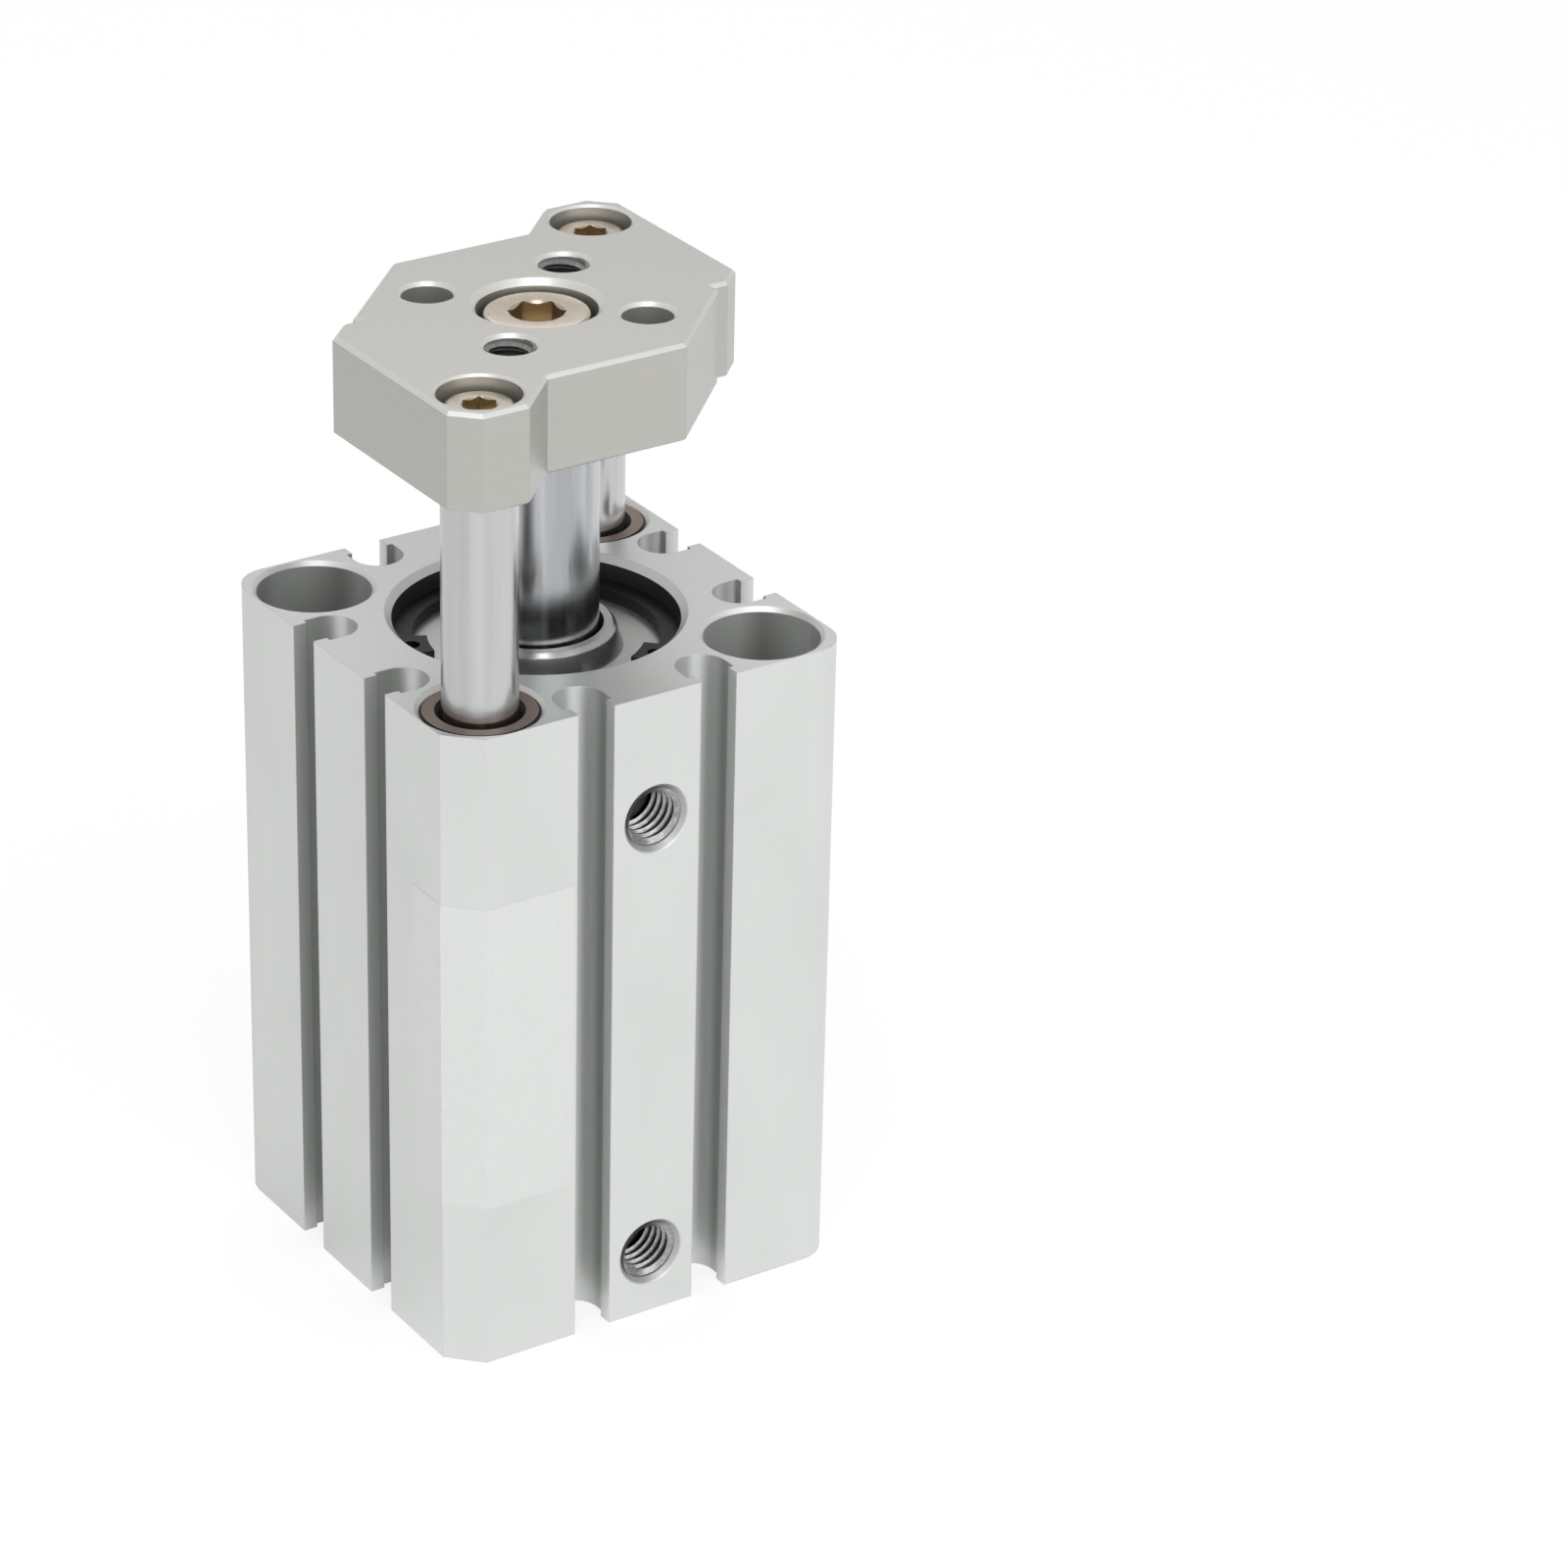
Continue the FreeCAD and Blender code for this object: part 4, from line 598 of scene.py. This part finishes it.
def screw_tree():
    """A socket head cap screw: the source line turned round an axis, knurled, with a hexagon socket."""
    # The drill's cone in widths of the key, and the mouth's in corner radii of the hexagon. The drill's is a
    # little narrower than the socket and reaches a hair above its floor, and the mouth's stands out of the
    # head, so that no faces coincide.
    drill_radius, drill_depth, drill_place = 0.49, 0.25, -0.249
    mouth_wide, mouth_narrow, mouth_depth, mouth_place = 1.2, 0.8, 0.4, -0.16
    tree, given, output = new_geometry_tree("socket_head_screw", (
        ("Turning radius", "Float", 1.0 * MM), ("Head radius", "Float", 4.25 * MM),
        ("Head height", "Float", 5.0 * MM), ("Key", "Float", 4.0 * MM), ("Key depth", "Float", 2.6 * MM),
        ("Ribs", "Int", 40), ("Rib depth", "Float", 0.09 * MM), ("Hexagon turn", "Float", 0.0),
        ("Place", "Vector", None), ("Material", "Material", None)))
    points_per_rib = 4.0
    around = add(tree, "ShaderNodeMath", {0: given["Ribs"], 1: points_per_rib}, operation="MULTIPLY")
    circle = add(tree, "GeometryNodeCurvePrimitiveCircle", {
        "Resolution": around, "Radius": given["Turning radius"]})
    level = add(tree, "GeometryNodeSetCurveNormal", {"Curve": circle}, mode="Z_UP")
    section = add(tree, "GeometryNodeMeshToCurve", {"Mesh": given["Geometry"]})
    turned = add(tree, "GeometryNodeCurveToMesh", {"Curve": level, "Profile Curve": section})
    closed = add(tree, "GeometryNodeMergeByDistance", {"Geometry": turned, "Distance": 0.001 * MM})

    # Ribs: what stands at the head's full radius sinks in waves round the axis.
    where = add(tree, "GeometryNodeInputPosition").outputs["Position"]
    split = add(tree, "ShaderNodeSeparateXYZ", {0: where}).outputs
    flat = add(tree, "ShaderNodeVectorMath", {0: where, 1: (1, 1, 0)}, operation="MULTIPLY")
    radius = add(tree, "ShaderNodeVectorMath", {0: flat}, operation="LENGTH")
    edge = add(tree, "ShaderNodeMath", {0: given["Head radius"], 1: 0.01 * MM}, operation="SUBTRACT")
    angle = add(tree, "ShaderNodeMath", {0: split["Y"], 1: split["X"]}, operation="ARCTAN2")
    phase = add(tree, "ShaderNodeMath", {0: angle, 1: given["Ribs"]}, operation="MULTIPLY")
    wave = add(tree, "ShaderNodeMath", {0: phase}, operation="COSINE")
    fall = add(tree, "ShaderNodeMath", {0: wave, 1: 0.5, 2: -0.5}, operation="MULTIPLY_ADD")
    sink = add(tree, "ShaderNodeMath", {0: fall, 1: given["Rib depth"]}, operation="MULTIPLY")
    share = add(tree, "ShaderNodeMath", {0: sink, 1: given["Head radius"]}, operation="DIVIDE")
    outside = add(tree, "FunctionNodeCompare", {0: radius, 1: edge}, operation="GREATER_THAN")
    knurled = add(tree, "GeometryNodeSetPosition", {
        "Geometry": closed, "Selection": outside,
        "Offset": add(tree, "ShaderNodeVectorMath", {0: flat, "Scale": share}, operation="SCALE")})

    # The socket: a hexagon that stands half out of the head, a drilled cone under it and a chamfer at its
    # mouth.
    corner = add(tree, "ShaderNodeMath", {0: given["Key"], 1: math.sqrt(3)}, operation="DIVIDE")
    twice = add(tree, "ShaderNodeMath", {0: given["Key depth"], 1: 2.0}, operation="MULTIPLY")
    prism = add(tree, "GeometryNodeMeshCylinder", {"Vertices": 6, "Radius": corner, "Depth": twice})
    hexagon = add(tree, "GeometryNodeTransform", {
        "Geometry": prism, "Translation": add(tree, "ShaderNodeCombineXYZ", {"Z": given["Head height"]}),
        "Rotation": add(tree, "ShaderNodeCombineXYZ", {"Z": given["Hexagon turn"]})})
    drill = add(tree, "GeometryNodeMeshCone", {
        "Vertices": 48, "Radius Bottom": 0.0,
        "Radius Top": add(tree, "ShaderNodeMath", {0: given["Key"], 1: drill_radius}, operation="MULTIPLY"),
        "Depth": add(tree, "ShaderNodeMath", {0: given["Key"], 1: drill_depth}, operation="MULTIPLY")})
    floor = add(tree, "ShaderNodeMath", {
        0: given["Head height"], 1: given["Key depth"]}, operation="SUBTRACT")
    tip = add(tree, "ShaderNodeMath", {0: given["Key"], 1: drill_place, 2: floor}, operation="MULTIPLY_ADD")
    drilled = add(tree, "GeometryNodeTransform", {
        "Geometry": drill, "Translation": add(tree, "ShaderNodeCombineXYZ", {"Z": tip})})
    mouth = add(tree, "GeometryNodeMeshCone", {
        "Vertices": 96,
        "Radius Top": add(tree, "ShaderNodeMath", {0: corner, 1: mouth_wide}, operation="MULTIPLY"),
        "Radius Bottom": add(tree, "ShaderNodeMath", {0: corner, 1: mouth_narrow}, operation="MULTIPLY"),
        "Depth": add(tree, "ShaderNodeMath", {0: corner, 1: mouth_depth}, operation="MULTIPLY")})
    mouth_low = add(tree, "ShaderNodeMath", {
        0: corner, 1: mouth_place, 2: given["Head height"]}, operation="MULTIPLY_ADD")
    chamfer = add(tree, "GeometryNodeTransform", {
        "Geometry": mouth, "Translation": add(tree, "ShaderNodeCombineXYZ", {"Z": mouth_low})})
    cut = add(tree, "GeometryNodeMeshBoolean", {"Mesh 1": knurled}, operation="DIFFERENCE", solver="EXACT")
    for tool in (hexagon, drilled, chamfer):
        tree.links.new(tool.outputs["Geometry"], cut.inputs["Mesh 2"])
    placed = add(tree, "GeometryNodeTransform", {"Geometry": cut, "Translation": given["Place"]})
    end_tree(tree, output, placed, given["Material"])
    return tree


# ---- operators, one for each group of pieces ----

class GUIDEDCYL_OT_barrel(bpy.types.Operator):
    """Finish the barrel and the pieces that close its ends"""
    bl_idname = "guidedcyl.barrel"
    bl_label = "Finish barrel"

    def execute(self, context):
        coat_node("cylinder_body", anodised_extrusion(context.scene.guidedcyl_finish.barrel_colour))
        turned = turned_aluminium()
        for node in ("head_plate", "rod_cover"):
            coat_node(node, turned)
        coat_node("retaining_ring", phosphated_spring_steel())
        bronze = sintered_bronze()
        for node in frame["nodes"]:
            if node.endswith("_guide_bush"):
                coat_node(node, bronze)
        return {"FINISHED"}


class GUIDEDCYL_OT_seals(bpy.types.Operator):
    """Finish the seals, O-rings, bumpers and the pieces on the piston"""
    bl_idname = "guidedcyl.seals"
    bl_label = "Finish seals and piston"

    def execute(self, context):
        nitrile = moulded_rubber("nitrile_rubber", "#0E0E0E", "#1D1C1B", 0.55)
        for node in ("head_plate_oring", "rod_cover_oring", "rod_seal", "piston_seal"):
            coat_node(node, nitrile)
        urethane = moulded_rubber("amber_urethane", "#8A6A3A", "#A07E48", 0.45)
        for node in ("head_side_bumper", "rod_side_bumper"):
            coat_node(node, urethane)
        coat_node("piston_magnet", moulded_rubber("bonded_ferrite", "#2A2725", "#3A3633", 0.6))
        coat_node("piston_wear_ring", natural_acetal())
        coat_node("piston", turned_aluminium())
        return {"FINISHED"}


class GUIDEDCYL_OT_plate_and_rods(bpy.types.Operator):
    """Finish the end plate, the piston rod and the guide rods"""
    bl_idname = "guidedcyl.plate_and_rods"
    bl_label = "Finish end plate and rods"

    def execute(self, context):
        coat_node("end_plate", milled_anodised_plate(context.scene.guidedcyl_finish.plate_colour))
        # The piston rod gets a darker copy of the guide rods' chrome: painted shade from the end plate above
        # it.
        coat_node("piston_rod", chromed_steel("hard_chrome_with_painted_shade", "#ACAEB2", "#C2C4C7"))
        guide_chrome = chromed_steel("hard_chrome_on_guide_rods", "#C2C2C3", "#CCCCCC")
        for node in ("front_guide_rod", "back_guide_rod"):
            coat_node(node, guide_chrome)
        return {"FINISHED"}


class GUIDEDCYL_OT_threads(bpy.types.Operator):
    """Cut the threads in the ports and in the end plate's tapped holes"""
    bl_idname = "guidedcyl.threads"
    bl_label = "Build threads"

    def execute(self, context):
        settings = context.scene.guidedcyl_threads
        tree = thread_tree()
        metal = cut_aluminium()
        # A thread ends just under the countersunk mouth of its hole.
        port = ("cylinder_body", "barrel", settings.port_pitch, 0.35 * MM)
        plate = ("end_plate", "rod_assembly", settings.plate_pitch, 0.25 * MM)
        for name, (node, body, pitch, mouth) in (
            ("head_port", port), ("rod_port", port),
            ("load_thread_front", plate), ("load_thread_back", plate),
        ):
            mount = MOUNTS[name]
            axis = Vector(mount["axis"])
            centre = Vector(mount["pos_m"])
            length = mount["dims"]["length_mm"] * MM
            face = max(corner.dot(axis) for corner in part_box(node))
            start = centre + axis * (face - centre.dot(axis) - mouth - length)
            grow(f"{name}_thread", tree, body, {
                "Radius": mount["dims"]["r_mm"] * MM, "Pitch": pitch, "Length": length,
                "Depth": pitch * settings.depth_share, "Place": start,
                "Turn": axis.to_track_quat("Z", "Y").to_euler(), "Material": metal})
        return {"FINISHED"}


class GUIDEDCYL_OT_screws(bpy.types.Operator):
    """Build the socket screws that hold the end plate"""
    bl_idname = "guidedcyl.screws"
    bl_label = "Build screws"

    def execute(self, context):
        settings = context.scene.guidedcyl_screws
        tree = screw_tree()
        nickel = nickel_plated_steel()
        # Head height, shank radius, key and its depth in millimetres, and how far the hexagon is turned.
        m5 = (5.0, 2.5, 4.0, 2.6, math.radians(28.5))
        m3 = (3.0, 1.5, 2.5, 1.7, 0.0)
        for node, (head_height, shank, key, key_depth, turn) in (
            ("rod_screw", m5), ("front_guide_screw", m3), ("back_guide_screw", m3),
        ):
            low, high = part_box(node)
            head = (high.x - low.x) / 2
            length = high.z - low.z - head_height * MM
            section = screw_section(head, head_height * MM, shank * MM, length, settings.rim)
            # The tree carries the outline round a circle of this radius, so it is given from there.
            turning = shank / 2 * MM
            outline = [(radius - turning, -height, 0.0) for radius, height in section]
            piece = grow(f"{node}_detailed", tree, "rod_assembly", {
                "Turning radius": turning, "Head radius": head, "Head height": head_height * MM,
                "Key": key * MM, "Key depth": key_depth * MM, "Ribs": settings.ribs,
                "Rib depth": settings.rib_depth, "Hexagon turn": turn,
                "Place": Vector((low.x + head, low.y + head, high.z - head_height * MM)),
                "Material": nickel}, outline)
            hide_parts(node)
        return {"FINISHED"}


class GUIDEDCYL_OT_label(bpy.types.Operator):
    """Stick a blank label round the barrel's front corner"""
    bl_idname = "guidedcyl.label"
    bl_label = "Build label"

    def execute(self, context):
        settings = context.scene.guidedcyl_label
        left, front = BARREL_LOW.x, BARREL_LOW.y
        line = (
            (left, front + settings.reach_left),
            (left, front + CORNER_LEG),
            (left + CORNER_LEG, front),
            (left + settings.reach_front, front),
        )
        # The film keeps its thickness over the corner's two 45 degree bends, and its back stays clear of
        # the barrel's faces.
        mitre = math.tan(math.pi / 8)
        outward = ((-1.0, 0.0), (-1.0, -mitre), (-mitre, -1.0), (0.0, -1.0))
        clearance = 0.002 * MM
        vertices = []
        for height in (settings.low, settings.high):
            for lift in (clearance, settings.thickness):
                vertices += [
                    (x + dx * lift, y + dy * lift, height) for (x, y), (dx, dy) in zip(line, outward)]
        count = len(line)
        inner_low, outer_low, inner_high, outer_high = (range(k * count, (k + 1) * count) for k in range(4))
        faces = []
        for k in range(count - 1):
            faces.append((outer_low[k], outer_low[k + 1], outer_high[k + 1], outer_high[k]))
            faces.append((inner_low[k + 1], inner_low[k], inner_high[k], inner_high[k + 1]))
            faces.append((outer_high[k], outer_high[k + 1], inner_high[k + 1], inner_high[k]))
            faces.append((outer_low[k + 1], outer_low[k], inner_low[k], inner_low[k + 1]))
        faces.append((outer_low[0], outer_high[0], inner_high[0], inner_low[0]))
        faces.append((outer_high[-1], outer_low[-1], inner_low[-1], inner_high[-1]))
        mesh = bpy.data.meshes.new("blank_label")
        mesh.from_pydata(vertices, [], faces)
        mesh.update()
        mesh_piece("blank_label", mesh, "barrel", label_film(context.scene.guidedcyl_finish.label_colour))
        return {"FINISHED"}


class GUIDEDCYL_OT_stage(bpy.types.Operator):
    """Set the floor, the lamps, the world and the camera"""
    bl_idname = "guidedcyl.stage"
    bl_label = "Build stage"

    def execute(self, context):
        settings = context.scene.guidedcyl_stage
        scene = context.scene
        scene.view_settings.view_transform = "Standard"
        self.make_world(scene, settings)
        self.make_floor(scene, settings)
        self.make_lamps(scene, settings)
        self.make_camera(scene, settings)
        return {"FINISHED"}

    def make_world(self, scene, settings):
        """Even light from all round, which shows as plain white behind the object."""
        world = bpy.data.worlds.new("studio")
        world.use_nodes = True
        tree = world.node_tree
        tree.nodes.clear()
        light = add(tree, "ShaderNodeBackground", {
            "Color": (1, 1, 1, 1), "Strength": settings.world_strength})
        white = add(tree, "ShaderNodeBackground", {"Color": (1, 1, 1, 1), "Strength": 1.0})
        seen = add(tree, "ShaderNodeLightPath").outputs["Is Camera Ray"]
        mix = add(tree, "ShaderNodeMixShader", {0: seen, 1: light, 2: white})
        add(tree, "ShaderNodeOutputWorld", {"Surface": mix})
        scene.world = world

    def make_floor(self, scene, settings):
        """A pale floor that keeps the object's shadow."""
        reach, drop = 3.0, 0.05 * MM
        glow_strength, glow_share = 1.08, 0.75
        card_side, card_edge, card_share = (-0.7, 1.0, 0.0), 0.02, 0.25
        mesh = bpy.data.meshes.new("floor")
        corners = [(x * reach, y * reach, -drop) for x, y in ((-1, -1), (1, -1), (1, 1), (-1, 1))]
        mesh.from_pydata(corners, [], [(0, 1, 2, 3)])
        floor = bpy.data.objects.new("floor", mesh)
        scene.collection.objects.link(floor)
        material, tree = new_material("pale_floor")
        paper = add(tree, "ShaderNodeBsdfPrincipled", {
            "Base Color": (*settings.floor_colour, 1.0), "Roughness": 0.8})
        # The camera and reflections see this glow mixed with the paper, which keeps the shadow.
        glow = add(tree, "ShaderNodeEmission", {"Color": (1, 1, 1, 1), "Strength": glow_strength})
        path = add(tree, "ShaderNodeLightPath").outputs
        seen = add(tree, "ShaderNodeMath", {
            0: path["Is Camera Ray"], 1: path["Is Transmission Ray"]}, operation="MAXIMUM")
        share = add(tree, "ShaderNodeMath", {0: seen, 1: glow_share}, operation="MULTIPLY")
        # Reflections show the floor behind the left side less bright, as if a grey card lay there.
        place = add(tree, "ShaderNodeTexCoord").outputs["Object"]
        across = add(tree, "ShaderNodeVectorMath", {0: place, 1: card_side}, operation="DOT_PRODUCT")
        card = add(tree, "ShaderNodeMapRange", {
            "Value": across.outputs["Value"], "From Max": card_edge, "To Min": glow_share,
            "To Max": card_share})
        mirrored = add(tree, "ShaderNodeMath", {0: card, 1: path["Is Glossy Ray"]}, operation="MULTIPLY")
        share = add(tree, "ShaderNodeMath", {0: share, 1: mirrored}, operation="MAXIMUM")
        mix = add(tree, "ShaderNodeMixShader", {0: share, 1: paper, 2: glow})
        add(tree, "ShaderNodeOutputMaterial", {"Surface": mix})
        mesh.materials.append(material)

    def make_lamps(self, scene, settings):
        """A large soft lamp beside the camera, a weaker one before the port face, a small one high in front
        that the chamfers mirror, and one behind."""
        lamps = (
            ("key", settings.key_power, 1.2, (-0.64, -0.72, 0.56)),
            ("fill", settings.fill_power, 0.5, (0.10, -0.55, 0.42)),
            ("high", settings.high_power, 0.25, (-0.14, -0.24, 0.56)),
            ("top", settings.top_power, 0.4, (0.15, 0.35, 0.50)),
        )
        target = Vector((0, 0, BARREL_HIGH.z))
        for name, power, size, place in lamps:
            data = bpy.data.lights.new(name, "AREA")
            data.energy, data.size = power, size
            lamp = bpy.data.objects.new(name, data)
            scene.collection.objects.link(lamp)
            lamp.location = place
            lamp.rotation_euler = (target - Vector(place)).to_track_quat("-Z", "Y").to_euler()

    def make_camera(self, scene, settings):
        """A long lens, three-quarter view from above."""
        aim = Vector((0.82, 0.49, 41.70)) * MM
        roll = math.radians(0.181)
        shift = (0.1548, -0.0151)
        azimuth, elevation = settings.camera_azimuth, settings.camera_elevation
        back = Vector((
            math.sin(azimuth) * math.cos(elevation), -math.cos(azimuth) * math.cos(elevation),
            math.sin(elevation)))
        data = bpy.data.cameras.new("camera")
        data.sensor_width = 36.0
        data.lens = settings.camera_lens
        data.shift_x, data.shift_y = shift
        data.clip_start, data.clip_end = 0.01, 10.0
        camera = bpy.data.objects.new("camera", data)
        scene.collection.objects.link(camera)
        camera.location = aim + back * settings.camera_distance
        facing = (-back).to_track_quat("-Z", "Y").to_matrix() @ Euler((0, 0, roll)).to_matrix()
        camera.rotation_euler = facing.to_euler()
        scene.camera = camera


OPERATORS = (
    GUIDEDCYL_OT_barrel, GUIDEDCYL_OT_seals, GUIDEDCYL_OT_plate_and_rods, GUIDEDCYL_OT_threads,
    GUIDEDCYL_OT_screws, GUIDEDCYL_OT_label, GUIDEDCYL_OT_stage,
)
GROUPS = {
    "guidedcyl_finish": FinishSettings, "guidedcyl_threads": ThreadSettings,
    "guidedcyl_screws": ScrewSettings, "guidedcyl_label": LabelSettings, "guidedcyl_stage": StageSettings,
}


class GUIDEDCYL_PT_panel(bpy.types.Panel):
    """Finishes and pieces of the guided cylinder"""
    bl_idname = "GUIDEDCYL_PT_panel"
    bl_label = "Guided Cylinder"
    bl_space_type = "VIEW_3D"
    bl_region_type = "UI"
    bl_category = "Guided Cylinder"

    def draw(self, context):
        layout = self.layout
        for operator in OPERATORS:
            layout.operator(operator.bl_idname)
        for name, group in GROUPS.items():
            column = layout.column(heading=name.split("_")[1].title())
            for setting in group.__annotations__:
                column.prop(getattr(context.scene, name), setting)


def register():
    """Register the settings, the operators and the panel."""
    for item in (*GROUPS.values(), *OPERATORS, GUIDEDCYL_PT_panel):
        bpy.utils.register_class(item)
    for name, group in GROUPS.items():
        setattr(bpy.types.Scene, name, PointerProperty(type=group))


def unregister():
    """Take them away again."""
    for name in GROUPS:
        delattr(bpy.types.Scene, name)
    for item in reversed((*GROUPS.values(), *OPERATORS, GUIDEDCYL_PT_panel)):
        bpy.utils.unregister_class(item)


def main():
    """Build everything in order."""
    register()
    for operator in OPERATORS:
        group, name = operator.bl_idname.split(".")
        getattr(getattr(bpy.ops, group), name)()


if __name__ == "__main__":
    main()
